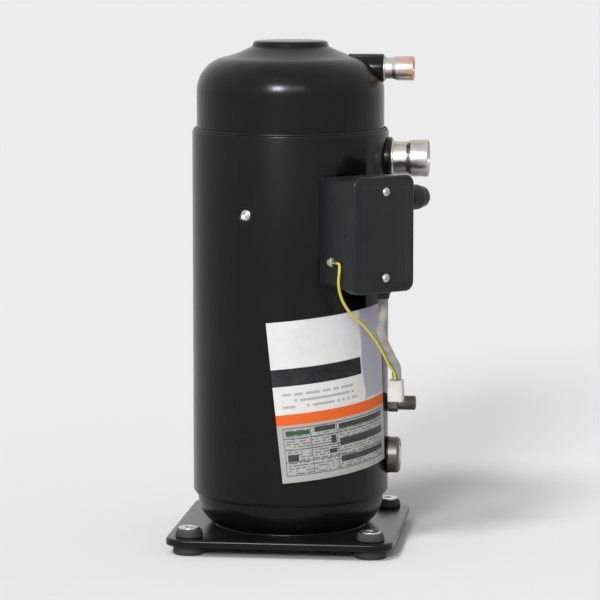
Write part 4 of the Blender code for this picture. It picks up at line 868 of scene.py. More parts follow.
# ---------------------------------------------------------------- leads and their connector
def rounded_outline(half_a, half_b, radius, per_corner=8):
    points = []
    for corner, (sign_a, sign_b) in enumerate(((1, 1), (-1, 1), (-1, -1), (1, -1))):
        for i in range(per_corner + 1):
            angle = math.radians(90.0 * (corner + i / per_corner))
            points.append((sign_a * (half_a - radius) + radius * math.cos(angle),
                           sign_b * (half_b - radius) + radius * math.sin(angle)))
    return points


def loft_outlines(rows, per_corner=8):
    """Closed shape through rounded rectangles: rows of (half_a, half_b, corner, height)."""
    bm = bmesh.new()
    rings = []
    for half_a, half_b, corner, height in rows:
        outline = rounded_outline(half_a, half_b, max(corner, 0.0002), per_corner)
        rings.append([bm.verts.new((a, b, height)) for a, b in outline])
    join_rings(bm, rings)
    cap_ends(bm, rings)
    return bm


def make_connector():
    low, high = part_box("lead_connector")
    middle = 0.5 * (low + high)
    half_a = 0.5 * (high.x - low.x)
    half_b = 0.5 * (high.y - low.y)
    round_by = 0.0008
    rib = 0.0006
    shoulder = low.z + 0.62 * (high.z - low.z)
    rows = [
        (half_a - round_by, half_b - round_by, 0.0012, low.z),
        (half_a, half_b, 0.0020, low.z + round_by),
        (half_a, half_b, 0.0020, shoulder),
        (half_a - rib, half_b - rib, 0.0018, shoulder + rib),
        (half_a - rib, half_b - rib, 0.0018, high.z - round_by),
        (half_a - rib - round_by, half_b - rib - round_by, 0.0012, high.z),
    ]
    shape = loft_outlines(rows)
    mouth_size = (0.6 * half_a, 0.66 * half_b, 0.0015)
    mouth = loft_outlines([(*mouth_size, low.z - 0.002), (*mouth_size, low.z + 0.009)])
    steps = [("DIFFERENCE", mouth, None)]
    groove_size = (0.0006, 0.0014, 0.0003)
    for side in (-0.34, 0.0, 0.34):
        groove = loft_outlines([(*groove_size, low.z + 0.004), (*groove_size, shoulder - 0.002)])
        steps.append(("DIFFERENCE", groove, Matrix.Translation((half_a, side * half_b * 1.6, 0.0))))
    mesh = carve(shape, steps, Matrix.Translation((middle.x, middle.y, 0.0)))
    made = new_piece("lead_connector_housing", mesh, CONNECTOR)
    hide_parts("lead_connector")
    return made


def make_leads():
    connector = make_connector()
    cable_points = curved(on_box(CABLE_ROUTE), 0.6 * CABLE_RADIUS)
    cable = sweep(cable_points, CABLE_RADIUS, 32, "supply_cable_sleeve", SLEEVE)
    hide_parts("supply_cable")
    earth_points = curved(on_box(EARTH_ROUTE), EARTH_RADIUS)
    earth = sweep(earth_points, EARTH_RADIUS, 20, "earth_wire", EARTH, spiral=9.0)
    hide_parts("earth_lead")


make_camera()
make_leads()


# ---------------------------------------------------------------- shell and caps
def ring_weld(name, radius, height, size, squash=1.0, ripples=200, seed=0.0, placement=None, finish=None):
    """Weld bead round a circle: a round section whose skin carries overlapping crescent ripples."""
    steps = ripples * 5
    section = 14
    bm = bmesh.new()
    rings = []
    for i in range(steps):
        angle = 2.0 * math.pi * i / steps
        drift = noise.noise(Vector((7.0 * math.cos(angle), 7.0 * math.sin(angle), seed)))
        ring = []
        for j in range(section):
            turn = 2.0 * math.pi * j / section
            phase = (ripples * i / steps + 0.9 * math.cos(turn - 0.25 * math.pi) + 0.35 * drift) % 1.0
            girth = size * (0.90 + 0.10 * (1.0 - phase) ** 2 + 0.10 * drift)
            reach = radius + girth * math.cos(turn)
            ring.append(bm.verts.new(polar(reach, angle, height + squash * girth * math.sin(turn))))
        rings.append(ring)
    join_rings(bm, rings + rings[:1])
    made = new_piece(name, mesh_from(bm, name, placement), finish or PAINT, smooth=70.0)


def shell_sector(azimuth, height, reach=0.0):
    """Placement whose local +Z points out of the shell at an azimuth."""
    return outward_frame(azimuth, height, reach) @ Matrix.Rotation(0.5 * math.pi, 4, "Y")


def make_shell():
    inner = SHELL_RADIUS - SHELL_WALL
    profile = rounded_profile([
        (inner, SHELL_LOW, 0.0), (SHELL_RADIUS, SHELL_LOW, 0.0012),
        (SHELL_RADIUS, SHELL_HIGH, 0.0016), (inner, SHELL_HIGH, 0.0),
    ])
    shape = spin(profile, 192, closed=True)
    collar_low = SHELL_RADIUS - SUCTION_COLLAR_REACH
    collar_high = SHELL_RADIUS + SUCTION_COLLAR_REACH
    collar = spin(rounded_profile([
        (SUCTION_RADIUS, collar_low, 0.0), (SUCTION_COLLAR, collar_low, 0.0),
        (SUCTION_COLLAR, collar_high, 0.0022), (SUCTION_RADIUS, collar_high, 0.0006),
    ]), 72, closed=True)
    steps = [("UNION", collar, along_x(0.0, 0.0, SUCTION_Z))]
    for radius, placement in (
        (SUCTION_RADIUS + GAP, along_x(0.0, 0.0, SUCTION_Z)),
        (GLASS_SPIGOT + GAP, along_x(0.0, 0.0, GLASS_Z)),
        (VALVE_SPIGOT + GAP, along_x(0.0, 0.0, VALVE_Z)),
        (TERMINAL_RADIUS + GAP, shell_sector(BOX_AZIMUTH, BOX_Z - TERMINAL_DROP)),
    ):
        steps.append(("DIFFERENCE", rod(radius, 0.5 * SHELL_RADIUS, 1.5 * SHELL_RADIUS, 72), placement))
    for i in range(WELD_COUNT):
        spot = shell_sector(WELD_AZIMUTH + 360.0 * i / WELD_COUNT, WELD_Z)
        face = SHELL_RADIUS - WELD_DEPTH
        crater = spin([(0.0, face), (WELD_FLOOR, face), (0.76 * WELD_RADIUS, face + 0.0003),
                       (0.90 * WELD_RADIUS, face + 0.0012), (1.04 * WELD_RADIUS, face + 0.0030),
                       (0.0, face + 0.0030)], 48)
        steps.append(("DIFFERENCE", crater, spot))
    shell = new_piece("shell_body", carve(shape, steps), PAINT)
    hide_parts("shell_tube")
    for i in range(WELD_COUNT):
        spot = shell_sector(WELD_AZIMUTH + 360.0 * i / WELD_COUNT, WELD_Z, SHELL_RADIUS - WELD_DEPTH)
        swirl = []
        for k in range(25):
            share = k / 24.0
            swirl.append((WELD_FLOOR * (1.0 - share),
                          0.0002 + 0.0011 * share ** 0.6 + 0.00022 * math.sin(share * 20.0)))
        # The beads take the bright metal finish as a painted glint.
        bead = new_piece(f"plug_weld_bead_{i + 1}",
                         mesh_from(spin([(WELD_FLOOR, -0.0004)] + swirl, 40), "bead", spot),
                         WELD_GLINT_METAL, smooth=70.0)


def shoulder_arc(radius, shoulder, count):
    """The cap's shoulder: from its skirt round to the dome."""
    centre_r = radius - shoulder
    centre_z = CAP_LOW + CAP_INSERT + CAP_SKIRT
    points = []
    for i in range(count + 1):
        angle = math.radians(SHOULDER_TURN * i / count)
        points.append((centre_r + shoulder * math.cos(angle), centre_z + shoulder * math.sin(angle)))
    return points


def make_top_cap():
    dome_z = shoulder_arc(CAP_RADIUS, CAP_SHOULDER, 1)[-1][1] + DOME_RISE
    shoulder = shoulder_arc(CAP_RADIUS, CAP_SHOULDER, 20)
    inner_shoulder = shoulder_arc(CAP_INNER, CAP_SHOULDER - SHELL_WALL, 12)
    last = shoulder[-1]
    outer = [(CAP_RADIUS, CAP_LOW)] + shoulder
    # A gentle crown from the shoulder's end up to the foot of the raised disc
    slope = math.tan(math.radians(90.0 - SHOULDER_TURN))
    reach = last[0] - (BOSS_RADIUS + 0.003)
    for i in range(1, 9):
        share = i / 8.0
        rise = slope * reach * share + (DOME_RISE - slope * reach) * share ** 2
        outer.append((last[0] - reach * share, last[1] + rise))
    outer += [
        (BOSS_RADIUS + 0.0016, dome_z + 0.0005), (BOSS_RADIUS + 0.0006, dome_z + 0.0012),
        (BOSS_RADIUS, dome_z + 0.0024), (BOSS_RADIUS - 0.0004, CAP_TOP - 0.0042),
        (BOSS_RADIUS - 0.0010, CAP_TOP - 0.0026), (BOSS_RADIUS - 0.0024, CAP_TOP - 0.0013),
        (BOSS_RADIUS - 0.0045, CAP_TOP - 0.0008), (0.5 * BOSS_RADIUS, CAP_TOP - 0.0003), (0.0, CAP_TOP),
    ]
    inner = [(CAP_INNER, CAP_LOW)] + inner_shoulder
    inner += [(BOSS_RADIUS + 0.003, dome_z - SHELL_WALL), (BOSS_RADIUS - SHELL_WALL, CAP_TOP - SHELL_WALL),
              (0.0, CAP_TOP - SHELL_WALL)]
    shape = spin(list(reversed(inner)) + outer, 192)
    collar = spin(rounded_profile([
        (0.0, 0.062, 0.0), (DISCHARGE_COLLAR, 0.062, 0.0),
        (DISCHARGE_COLLAR, DISCHARGE_COLLAR_END, 0.0020), (0.0, DISCHARGE_COLLAR_END, 0.0),
    ]), 72)
    trim = spin([(0.0, CAP_LOW)] + inner, 96)
    steps = [
        ("UNION", collar, along_x(0.0, 0.0, DISCHARGE_Z)),
        ("DIFFERENCE", rod(DISCHARGE_RADIUS + GAP, 0.5 * CAP_RADIUS, 1.5 * CAP_RADIUS, 72),
         along_x(0.0, 0.0, DISCHARGE_Z)),
        ("DIFFERENCE", trim, None),
    ]
    cap = new_piece("domed_top_cap", carve(shape, steps), PAINT)
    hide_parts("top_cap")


def make_bottom_cap():
    floor_z = PAD_TOP + GAP
    centre = (CAP_RADIUS - BOTTOM_CORNER, floor_z + BOTTOM_CORNER)
    top_z = SHELL_LOW + BOTTOM_SKIRT

    def corner(radius, count):
        angles = [math.radians(-90.0 + 90.0 * i / count) for i in range(count + 1)]
        return [(centre[0] + radius * math.cos(angle), centre[1] + radius * math.sin(angle))
                for angle in angles]

    outer = [(0.0, floor_z)] + corner(BOTTOM_CORNER, 20) + [(CAP_RADIUS, top_z)]
    inner = [(CAP_INNER, top_z)] + list(reversed(corner(BOTTOM_CORNER - SHELL_WALL, 14)))
    inner.append((0.0, floor_z + SHELL_WALL))
    cap = new_piece("bottom_dish", mesh_from(spin(outer + inner, 160), "bottom_dish"), PAINT)
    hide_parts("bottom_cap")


# ---------------------------------------------------------------- base plate and feet
def make_base_plate():
    per_corner = 14
    bm = bmesh.new()

    def square(inset, height):
        half = PLATE_HALF - inset
        return [(a, b, height) for a, b in rounded_outline(half, half, PLATE_CORNER - inset, per_corner)]

    def ring(radius, height):
        points = []
        for k in range(4):
            for i in range(per_corner + 1):
                angle = math.radians(90.0 * (k + (i + 0.5) / (per_corner + 1)))
                points.append(polar(radius, angle, height))
        return points

    def ramp(low, high):
        rows = []
        for i in range(9):
            share = i / 8.0
            ease = share * share * (3.0 - 2.0 * share)
            rows.append(ring(PAD_RADIUS + PAD_RAMP * share, low + (high - low) * ease))
        return rows

    def bend(radius):
        rows = []
        for i in range(7):
            angle = math.radians(90.0 * i / 6.0)
            inset = radius * (1.0 - math.sin(angle))
            rows.append(square(inset, PLATE_TOP - radius * (1.0 - math.cos(angle))))
        return rows

    rows = ramp(PAD_TOP, PLATE_TOP) + bend(0.0024)
    rows += [square(0.0, PLATE_SKIRT_LOW + 0.0006), square(0.0006, PLATE_SKIRT_LOW),
             square(PLATE_WALL, PLATE_SKIRT_LOW), square(PLATE_WALL, PAD_TOP)]
    rows += list(reversed(ramp(0.0, PAD_TOP)))
    rings = [[bm.verts.new(point) for point in row] for row in rows]
    join_rings(bm, rings)
    bm.faces.new(rings[0])
    bm.faces.new(rings[-1])
    steps = [("DIFFERENCE", rod(FOOT_NECK + GAP, -0.010, 0.020, 56), Matrix.Translation(place))
             for place in foot_places().values()]
    plate = new_piece("mounting_plate", carve(bm, steps), PAINT)
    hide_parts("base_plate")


def foot_places():
    return {
        f"{depth}_{side}": (x * FOOT_OFFSET, y * FOOT_OFFSET, 0.0)
        for depth, y in (("front", -1.0), ("rear", 1.0)) for side, x in (("left", -1.0), ("right", 1.0))
    }


def make_feet():
    under = PAD_TOP - GAP
    over = PLATE_TOP + GAP
    bore = SLEEVE_RADIUS + GAP
    rubber = [
        (bore, FLOOR_Z, 0.0), (FOOT_RADIUS - 0.0012, FLOOR_Z, 0.0008),
        (FOOT_RADIUS, FLOOR_Z + 0.0030, 0.0012), (FOOT_RADIUS - 0.0002, 0.5 * (FLOOR_Z + under), 0.0),
        (FOOT_RADIUS - 0.0015, under, 0.0008), (FOOT_NECK, under, 0.0), (FOOT_NECK, over, 0.0),
        (FOOT_RADIUS - 0.002, over, 0.0010),
        (FOOT_RADIUS - 0.004, FOOT_TOP, 0.0016), (bore, FOOT_TOP, 0.0),
    ]
    flange_z = FOOT_TOP + GAP
    sleeve = [
        (SLEEVE_BORE, FLOOR_Z + 0.001, 0.0), (SLEEVE_RADIUS, FLOOR_Z + 0.001, 0.0),
        (SLEEVE_RADIUS, flange_z, 0.0), (SLEEVE_FLANGE, flange_z, 0.0003),
        (SLEEVE_FLANGE, SLEEVE_TOP, 0.0004), (SLEEVE_BORE, SLEEVE_TOP, 0.0004),
    ]
    for name, place in foot_places().items():
        foot = turned_piece(f"rubber_foot_{name}", rubber, RUBBER, Matrix.Translation(place), 64, True)
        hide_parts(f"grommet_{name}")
        insert = turned_piece(f"foot_insert_{name}", sleeve, ZINC, Matrix.Translation(place), 64, True)
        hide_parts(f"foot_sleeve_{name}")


# ---------------------------------------------------------------- pipe stubs and oil fittings
def stub(name, node, radius, wall, start, reach, height):
    """Brazed tube along +X whose outer end opens into a socket."""
    bell = radius + wall
    mouth = reach - SOCKET_DEPTH
    flare = 0.25 * SOCKET_DEPTH
    made = turned_piece(name, [
        (radius - wall, start, 0.0), (radius, start, 0.0), (radius, mouth - flare, 0.0022),
        (bell, mouth, 0.0022), (bell, reach, 0.0007), (radius + GAP, reach, 0.0005),
        (radius + GAP, mouth, 0.0), (radius - wall, mouth - flare, 0.0),
    ], STUB, along_x(0.0, 0.0, height), 96, closed=True)
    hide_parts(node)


def make_stubs():
    stub("suction_tube", "suction_stub", SUCTION_RADIUS, SUCTION_WALL,
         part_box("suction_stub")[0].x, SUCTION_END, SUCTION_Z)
    stub("discharge_tube", "discharge_stub", DISCHARGE_RADIUS, DISCHARGE_WALL,
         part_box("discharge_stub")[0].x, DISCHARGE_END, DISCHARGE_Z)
    ring_weld("suction_braze", SUCTION_RADIUS + 0.0004, 0.0, 0.0016, 1.0, 60, 3.0,
              along_x(SHELL_RADIUS + 0.0049, 0.0, SUCTION_Z), STUB)
    ring_weld("discharge_braze", DISCHARGE_RADIUS + 0.0004, 0.0, 0.0014, 1.0, 44, 4.0,
              along_x(0.0992, 0.0, DISCHARGE_Z), STUB)


GLASS_REACH = 0.0130
GLASS_RADIUS = 0.0190
GLASS_BORE = 0.0090
GLASS_RECESS = 0.0123
VALVE_BORE = 0.0030
VALVE_HEX_REACH = 0.0110
VALVE_REACH = 0.0250
VALVE_CAP_BORE = 0.0053
CAP_KNURLS = 24


def make_oil_fittings():
    back = SHELL_RADIUS + GAP
    front = back + GLASS_REACH
    seat = front - 0.00425
    inner = SHELL_RADIUS - SHELL_WALL
    body = spin(rounded_profile([
        (GLASS_BORE, inner, 0.0), (GLASS_SPIGOT, inner, 0.0), (GLASS_SPIGOT, back, 0.0),
        (GLASS_RADIUS, back, 0.0008), (GLASS_RADIUS, front - 0.0018, 0.0008), (0.0170, front, 0.0006),
        (GLASS_RECESS, front, 0.0004), (GLASS_RECESS, seat, 0.0), (GLASS_BORE, seat, 0.0),
    ]), 72, closed=True)
    flats = hexagon(0.0188 / math.cos(math.pi / 6), back - 0.002, front + 0.002)
    mesh = carve(body, [("INTERSECT", flats, None)], along_x(0.0, 0.0, GLASS_Z))
    holder = new_piece("sight_glass_holder", mesh, FITTING)
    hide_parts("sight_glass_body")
    lens = turned_piece("sight_glass_window", [
        (0.0, seat + GAP, 0.0), (0.0120, seat + GAP, 0.0), (0.0120, front - 0.0008, 0.0006),
        (0.0084, front + 0.0004, 0.0008), (0.0, front + 0.0008, 0.0),
    ], LENS, along_x(0.0, 0.0, GLASS_Z), 64)
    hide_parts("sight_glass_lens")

    hex_end = back + VALVE_HEX_REACH
    end = back + VALVE_REACH
    stem = spin(rounded_profile([
        (VALVE_BORE, inner, 0.0), (VALVE_SPIGOT, inner, 0.0), (VALVE_SPIGOT, hex_end - 0.001, 0.0),
        (0.0050, hex_end, 0.0), (0.0050, end, 0.0006), (VALVE_BORE, end, 0.0003),
    ]), 64, closed=True)
    nut = bored_nut(0.0100, back, hex_end, rod(0.0045, inner, end))
    mesh = carve(stem, [("UNION", nut, None)], along_x(0.0, 0.0, VALVE_Z))
    valve = new_piece("oil_valve_body", mesh, FITTING)
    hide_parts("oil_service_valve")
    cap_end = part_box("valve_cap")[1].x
    shape = spin(rounded_profile([
        (VALVE_CAP_BORE, hex_end + GAP, 0.0), (0.0075, hex_end + GAP, 0.0004),
        (0.0075, cap_end - 0.0012, 0.0008), (0.0060, cap_end, 0.0005), (0.0, cap_end, 0.0),
        (0.0, cap_end - 0.0018, 0.0), (VALVE_CAP_BORE, cap_end - 0.0018, 0.0),
    ]), 96, closed=True)
    knurls = []
    for i in range(CAP_KNURLS):
        cutter = rod(0.00035, hex_end + 0.004, cap_end + 0.002, 8)
        knurls.append(("DIFFERENCE", cutter, round_turn(i, CAP_KNURLS, 0.0076)))
    cap = new_piece("oil_valve_cap", carve(shape, knurls, along_x(0.0, 0.0, VALVE_Z)), FITTING)
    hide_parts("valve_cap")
    ring_weld("sight_glass_weld", 0.0186, 0.0, 0.0012, 1.0, 60, 5.0,
              along_x(back + 0.0008, 0.0, GLASS_Z), PAINT)


def make_seams():
    """The three welds round the shell: top cap in the rim, bottom cap in the rim, cap on the plate."""
    ring_weld("top_seam_weld", CAP_RADIUS + 0.0014, SHELL_HIGH + 0.0006, 0.0022, 1.0, 260, 0.0)
    ring_weld("bottom_seam_weld", CAP_RADIUS + 0.0010, SHELL_LOW - 0.0006, 0.0022, 1.0, 260, 1.0)
    ring_weld("plate_weld", CAP_RADIUS - BOTTOM_CORNER + 0.0145, PLATE_TOP - 0.0004, 0.0028, 0.8, 180, 2.0)


# ---------------------------------------------------------------- terminal box
BOX_RIM = SHELL_RADIUS + 0.0445
BOX_CORNER = 0.007
BOX_WALL = 0.0025
COVER_LIP = GAP + 0.0026
COVER_LOW = BOX_RIM - 0.010
COVER_INSIDE = BOX_RIM + 0.0045
COVER_FACE = COVER_INSIDE + 0.0030
PANEL_INSET = 0.009
PANEL_RISE = 0.0012
SCREW_Z = 0.044
SCREW_BORE = 0.0023
POST_RADIUS = 0.0048
# Where the outlets sit: out from the shell's axis, to the right and above the box's middle
CABLE_OUTLET = (SHELL_RADIUS + 0.0215, 0.024, -BOX_HALF_HEIGHT)
GLAND_OUTLET = (SHELL_RADIUS + 0.0235, BOX_HALF_WIDTH, 0.033)
EARTH_OUTLET = (SHELL_RADIUS + 0.0125, -BOX_HALF_WIDTH, -0.029)
BUSHING_NECK = 0.0060
GLAND_BORE = 0.0045
GLAND_NECK = 0.0065
# A tenth of a millimetre under the solid's, because the rounder form would pass its box
GLAND_LENGTH = 0.0419
GLAND_RIBS = 18


def box_place(reach=0.0, side=0.0, height=0.0):
    return outward_frame(BOX_AZIMUTH, BOX_Z) @ Matrix.Translation((reach, side, height))


def box_right(reach, side, height):
    """Local +Z points along the box's +Y."""
    return box_place(reach, side, height) @ Matrix.Rotation(-0.5 * math.pi, 4, "X")


def box_loft(rows):
    """Rounded rectangles across the box: rows of (inset from the base's outline, reach)."""
    shaped = []
    for inset, reach in rows:
        shaped.append((BOX_HALF_WIDTH - inset, BOX_HALF_HEIGHT - inset, BOX_CORNER - inset, reach))
    bm = loft_outlines(shaped, 10)
    upright = Matrix(((0, 0, 1, 0), (1, 0, 0, 0), (0, 1, 0, 0), (0, 0, 0, 1)))
    bmesh.ops.transform(bm, matrix=upright, verts=bm.verts)
    return bm


def round_rows(inset, reach, radius, count=5):
    """Rows that round an outer edge whose corner is at (inset, reach), from the side to the face."""
    rows = []
    for i in range(count + 1):
        angle = 0.5 * math.pi * i / count
        rows.append((inset + radius * (1.0 - math.cos(angle)), reach - radius * (1.0 - math.sin(angle))))
    return rows


def make_terminal_box():
    floor = SHELL_RADIUS + 0.0035
    pocket = [(BOX_WALL, BOX_RIM + 0.01), (BOX_WALL, floor + 0.0012), (BOX_WALL + 0.0012, floor)]
    steps = [("DIFFERENCE", box_loft(list(reversed(pocket))), None)]
    for height in (-SCREW_Z, SCREW_Z):
        steps.append(("UNION", rod(POST_RADIUS, floor - 0.0005, BOX_RIM - GAP, 32), lie(0.0, height)))
        steps.append(("DIFFERENCE", rod(SCREW_BORE, BOX_RIM - 0.022, BOX_RIM + 0.003, 24), lie(0.0, height)))
    steps.append(("DIFFERENCE", rod(SHELL_RADIUS + GAP, -0.08, 0.08, 192), None))
    terminal = lie(0.0, -TERMINAL_DROP)
    steps.append(("DIFFERENCE", rod(TERMINAL_RADIUS + GAP, 0.5 * SHELL_RADIUS, floor + 0.003, 64), terminal))
    outlet = Matrix.Translation(CABLE_OUTLET)
    steps.append(("DIFFERENCE", rod(BUSHING_NECK + GAP, -0.005, 0.005, 48), outlet))
    sideways = Matrix.Rotation(-0.5 * math.pi, 4, "X")
    gland = Matrix.Translation(GLAND_OUTLET) @ sideways
    steps.append(("DIFFERENCE", rod(GLAND_NECK + GAP, -0.005, 0.0025, 48), gland))
    earth = Matrix.Translation(EARTH_OUTLET) @ sideways
    steps.append(("DIFFERENCE", rod(0.0025, -0.005, 0.005, 24), earth))
    outer = [(0.0, 0.9 * SHELL_RADIUS)] + round_rows(0.0, BOX_RIM, 0.0006, 3)
    mesh = carve(box_loft(outer), steps, box_place())
    base = new_piece("terminal_box_body", mesh, PLASTIC, smooth=30.0)
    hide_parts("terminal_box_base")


def lie(side, height):
    """In the box's own frame, local +Z points out through the cover."""
    return Matrix.Translation((0.0, side, height)) @ Matrix.Rotation(0.5 * math.pi, 4, "Y")


def make_cover():
    outer = [(-COVER_LIP + 0.0004, COVER_LOW), (-COVER_LIP, COVER_LOW + 0.0004)]
    outer += round_rows(-COVER_LIP, COVER_FACE, 0.0026, 7)
    outer += [(PANEL_INSET - 0.0012, COVER_FACE), (PANEL_INSET - 0.0003, COVER_FACE + 0.0004)]
    outer += round_rows(PANEL_INSET, COVER_FACE + PANEL_RISE, 0.0005, 3)
    cavity = [(-GAP, COVER_LOW - 0.003), (-GAP, COVER_INSIDE)]
    steps = [("DIFFERENCE", box_loft(cavity), None)]
    for height in (-SCREW_Z, SCREW_Z):
        steps.append(("DIFFERENCE", rod(SCREW_BORE, BOX_RIM, COVER_FACE + 0.009, 32), lie(0.0, height)))
    for side in (-1.0, 1.0):
        notch = loft_outlines([(0.0030, 0.0016, 0.0004, -0.002), (0.0030, 0.0016, 0.0004, 0.0006)], 3)
        place = Matrix.Translation((COVER_LOW + 0.0045, side * (BOX_HALF_WIDTH + COVER_LIP), 0.0))
        steps.append(("DIFFERENCE", notch, place @ Matrix.Rotation(side * 0.5 * math.pi, 4, "X")))
    cover = new_piece("terminal_box_lid", carve(box_loft(outer), steps, box_place()), PLASTIC, smooth=30.0)
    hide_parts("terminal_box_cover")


def make_cover_screws():
    face = COVER_FACE + PANEL_RISE + GAP
    top = face + 0.0026
    for name, height in (("lower", -SCREW_Z), ("upper", SCREW_Z)):
        shape = spin(rounded_profile([
            (0.0, BOX_RIM - 0.0178, 0.0), (0.0020, BOX_RIM - 0.0178, 0.0), (0.0020, face, 0.0),
            (0.0045, face, 0.0002), (0.0045, face + 0.0012, 0.0008), (0.0032, top, 0.0008), (0.0, top, 0.0),
        ]), 48)
        steps = []
        for turn in (0.0, 90.0):
            slot = loft_outlines([(0.0028, 0.0004, 0.0001, top - 0.0014),
                                  (0.0030, 0.0006, 0.0001, top + 0.001)], 2)
            steps.append(("DIFFERENCE", slot, Matrix.Rotation(math.radians(20.0 + turn), 4, "Z")))
        mesh = carve(shape, steps, box_place() @ lie(0.0, height))
        screw = new_piece(f"lid_screw_{name}", mesh, ZINC)
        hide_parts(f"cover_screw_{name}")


def make_box_outlets():
    down = box_place(*CABLE_OUTLET)
    bushing = turned_piece("outlet_bushing", [
        (CABLE_RADIUS + GAP, -0.0130, 0.0005), (BUSHING_NECK, -0.0130, 0.0), (0.0064, -0.0100, 0.0),
        (0.0070, -0.0096, 0.0), (0.0068, -0.0074, 0.0), (0.0078, -0.0070, 0.0), (0.0085, -0.0053, 0.0006),
        (0.0085, -GAP, 0.0006), (BUSHING_NECK, -GAP, 0.0), (BUSHING_NECK, BOX_WALL + GAP, 0.0006),
        (CABLE_RADIUS + GAP, BOX_WALL + GAP, 0.0),
    ], RUBBER, down, 64, closed=True)
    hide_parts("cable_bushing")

    length = GLAND_LENGTH
    grip = 0.35 * length
    shape = spin(rounded_profile([
        (GLAND_BORE, -0.0045, 0.0), (GLAND_NECK, -0.0045, 0.0), (GLAND_NECK, GAP, 0.0), (0.0105, GAP, 0.0005),
        (0.0105, grip, 0.0), (0.0130, grip + 0.002, 0.0008), (0.0130, 2.0 * grip, 0.0008),
        (0.0105, 0.92 * length, 0.0015), (0.0075, length, 0.0008), (GLAND_BORE, length, 0.0008),
    ]), 72, closed=True)
    steps = [("UNION", bored_nut(0.0140, 0.25 * grip, grip, rod(GLAND_NECK, -0.005, length)), None)]
    for i in range(GLAND_RIBS):
        rib = rod(0.0005, grip + 0.0040, 2.0 * grip - 0.001, 8)
        steps.append(("DIFFERENCE", rib, round_turn(i, GLAND_RIBS, 0.0132)))
    mesh = carve(shape, steps, box_right(*GLAND_OUTLET))
    gland = new_piece("side_gland", mesh, PLASTIC)
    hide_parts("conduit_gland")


# ---------------------------------------------------------------- label
def make_label():
    columns = 120
    rows = 90
    wall = 0.0004
    inner = SHELL_RADIUS + GAP
    tilt = Matrix.Rotation(math.radians(LABEL_TURN), 2)
    bm = bmesh.new()
    layer = bm.loops.layers.uv.new("UVMap")
    sheets = []
    for skin in (0.0, wall):
        grid = []
        for j in range(rows + 1):
            line = []
            for i in range(columns + 1):
                u = i / columns
                v = j / rows
                across, up = tilt @ Vector((LABEL_WIDTH * (u - 0.5), LABEL_HEIGHT * (v - 0.5)))
                angle = math.radians(LABEL_AZIMUTH - 90.0) + across / inner
                line.append(bm.verts.new(polar(inner + skin, angle, LABEL_Z + up)))
            grid.append(line)
        sheets.append(grid)
    back, front = sheets

    def add(corners, marks):
        face = bm.faces.new(corners)
        for loop, (u, v) in zip(face.loops, marks):
            loop[layer].uv = (u / columns, v / rows)

    for j in range(rows):
        for i in range(columns):
            marks = ((i, j), (i + 1, j), (i + 1, j + 1), (i, j + 1))
            add([front[b][a] for a, b in marks], marks)
            add([back[b][a] for a, b in reversed(marks)], tuple(reversed(marks)))
    rim = [(i, 0) for i in range(columns)] + [(columns, j) for j in range(rows)]
    rim += [(columns - i, rows) for i in range(columns)] + [(0, rows - j) for j in range(rows)]
    for (i0, j0), (i1, j1) in zip(rim, rim[1:] + rim[:1]):
        add([back[j0][i0], back[j1][i1], front[j1][i1], front[j0][i0]],
            ((i0, j0), (i1, j1), (i1, j1), (i0, j0)))
    label = new_piece("printed_label", mesh_from(bm, "printed_label"), LABEL)
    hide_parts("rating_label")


make_shell()
make_top_cap()
make_bottom_cap()
make_base_plate()
make_feet()
make_stubs()
make_oil_fittings()
make_seams()
make_terminal_box()
make_cover()
make_cover_screws()
make_box_outlets()
make_label()

for node, finish in CAD_FINISH.items():
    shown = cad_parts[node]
    shown.data.materials.clear()
    shown.data.materials.append(finish)


# ---------------------------------------------------------------- floor, light and world
def make_floor():
    bm = bmesh.new()
    bmesh.ops.create_grid(bm, x_segments=1, y_segments=1, size=80.0)
    mesh = mesh_from(bm, "floor", Matrix.Translation((0.0, 0.0, FLOOR_Z)))
    floor = bpy.data.objects.new("floor", mesh)
    bpy.context.scene.collection.objects.link(floor)
    made, _, shader = material("pale_floor", roughness=1.0, specular=0.0)
    shader.inputs["Base Color"].default_value = colour(0.80, 0.80, 0.80)
    mesh.materials.append(made)


KEY_TINT = (0.92, 0.96, 1.0)
LIT_CENTRE = Vector((0.0, 0.0, 0.27))


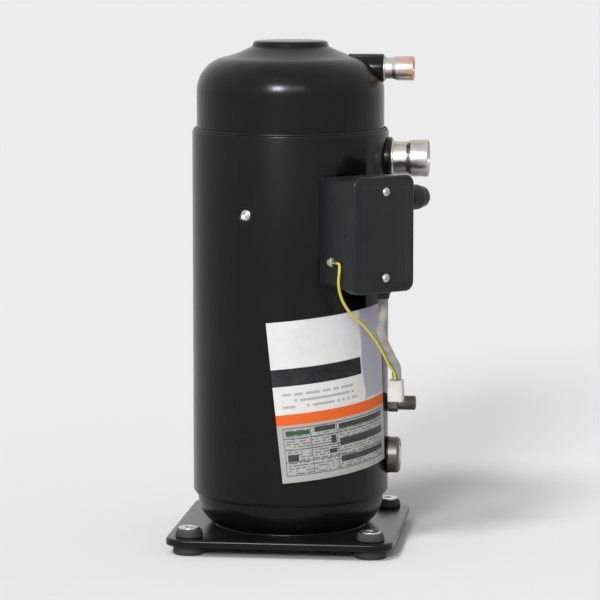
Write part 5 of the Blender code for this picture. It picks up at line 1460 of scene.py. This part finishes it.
def make_light(name, azimuth, elevation, distance, size, power, tint, height=None):
    """Lamp that only shows as a reflection."""
    data = bpy.data.lights.new(name, "AREA")
    data.shape = "RECTANGLE"
    data.size = size
    data.size_y = height or size
    data.energy = power
    data.color = tint
    lamp = bpy.data.objects.new(name, data)
    bpy.context.scene.collection.objects.link(lamp)
    lamp.visible_diffuse = False
    level = math.radians(elevation)
    outward = direction(azimuth) * math.cos(level) + Vector((0, 0, math.sin(level)))
    lamp.location = LIT_CENTRE + outward * distance
    lamp.rotation_euler = (LIT_CENTRE - lamp.location).to_track_quat("-Z", "Y").to_euler()


def make_sun(name, azimuth, elevation, energy, spread):
    """Far soft lamp that lights the object and the floor evenly and isn't mirrored in the paint."""
    data = bpy.data.lights.new(name, "SUN")
    data.energy = energy
    data.angle = math.radians(spread)
    lamp = bpy.data.objects.new(name, data)
    bpy.context.scene.collection.objects.link(lamp)
    lamp.rotation_euler = (math.radians(90.0 - elevation), 0.0, math.radians(azimuth))
    lamp.visible_glossy = False


def make_world():
    world = bpy.data.worlds.new("studio")
    bpy.context.scene.world = world
    world.use_nodes = True
    tree = world.node_tree
    tree.nodes.clear()
    g = Graph(tree)
    path = g.add("ShaderNodeLightPath").outputs
    seen = g.math("MAXIMUM", path["Is Camera Ray"],
                  g.math("MAXIMUM", path["Is Glossy Ray"], path["Is Transmission Ray"]))
    plain = g.add("ShaderNodeBackground", {}, Color=colour(1.0, 1.0, 1.0), Strength=0.45)
    white = g.add("ShaderNodeBackground", {}, Color=colour(1.0, 1.0, 1.0), Strength=1.0)
    mixed = g.add("ShaderNodeMixShader")
    g.feed(mixed, "0", seen)
    tree.links.new(plain.outputs[0], mixed.inputs[1])
    tree.links.new(white.outputs[0], mixed.inputs[2])
    output = g.add("ShaderNodeOutputWorld")
    tree.links.new(mixed.outputs[0], output.inputs[0])


make_floor()
make_sun("upper_sun", -28.0, 52.0, 1.5, 14.0)
make_sun("key", -9.0, 24.0, 1.7, 12.0)
# The bright core of the shoulder's highlight, and its long faint tail
make_light("core_reflection", -9.0, 24.0, 2.5, 0.42, 66.0, KEY_TINT)
make_light("tail_reflection", 4.0, 24.0, 2.7, 1.7, 18.0, KEY_TINT, height=0.5)
make_world()
bpy.context.scene.view_settings.view_transform = "Standard"
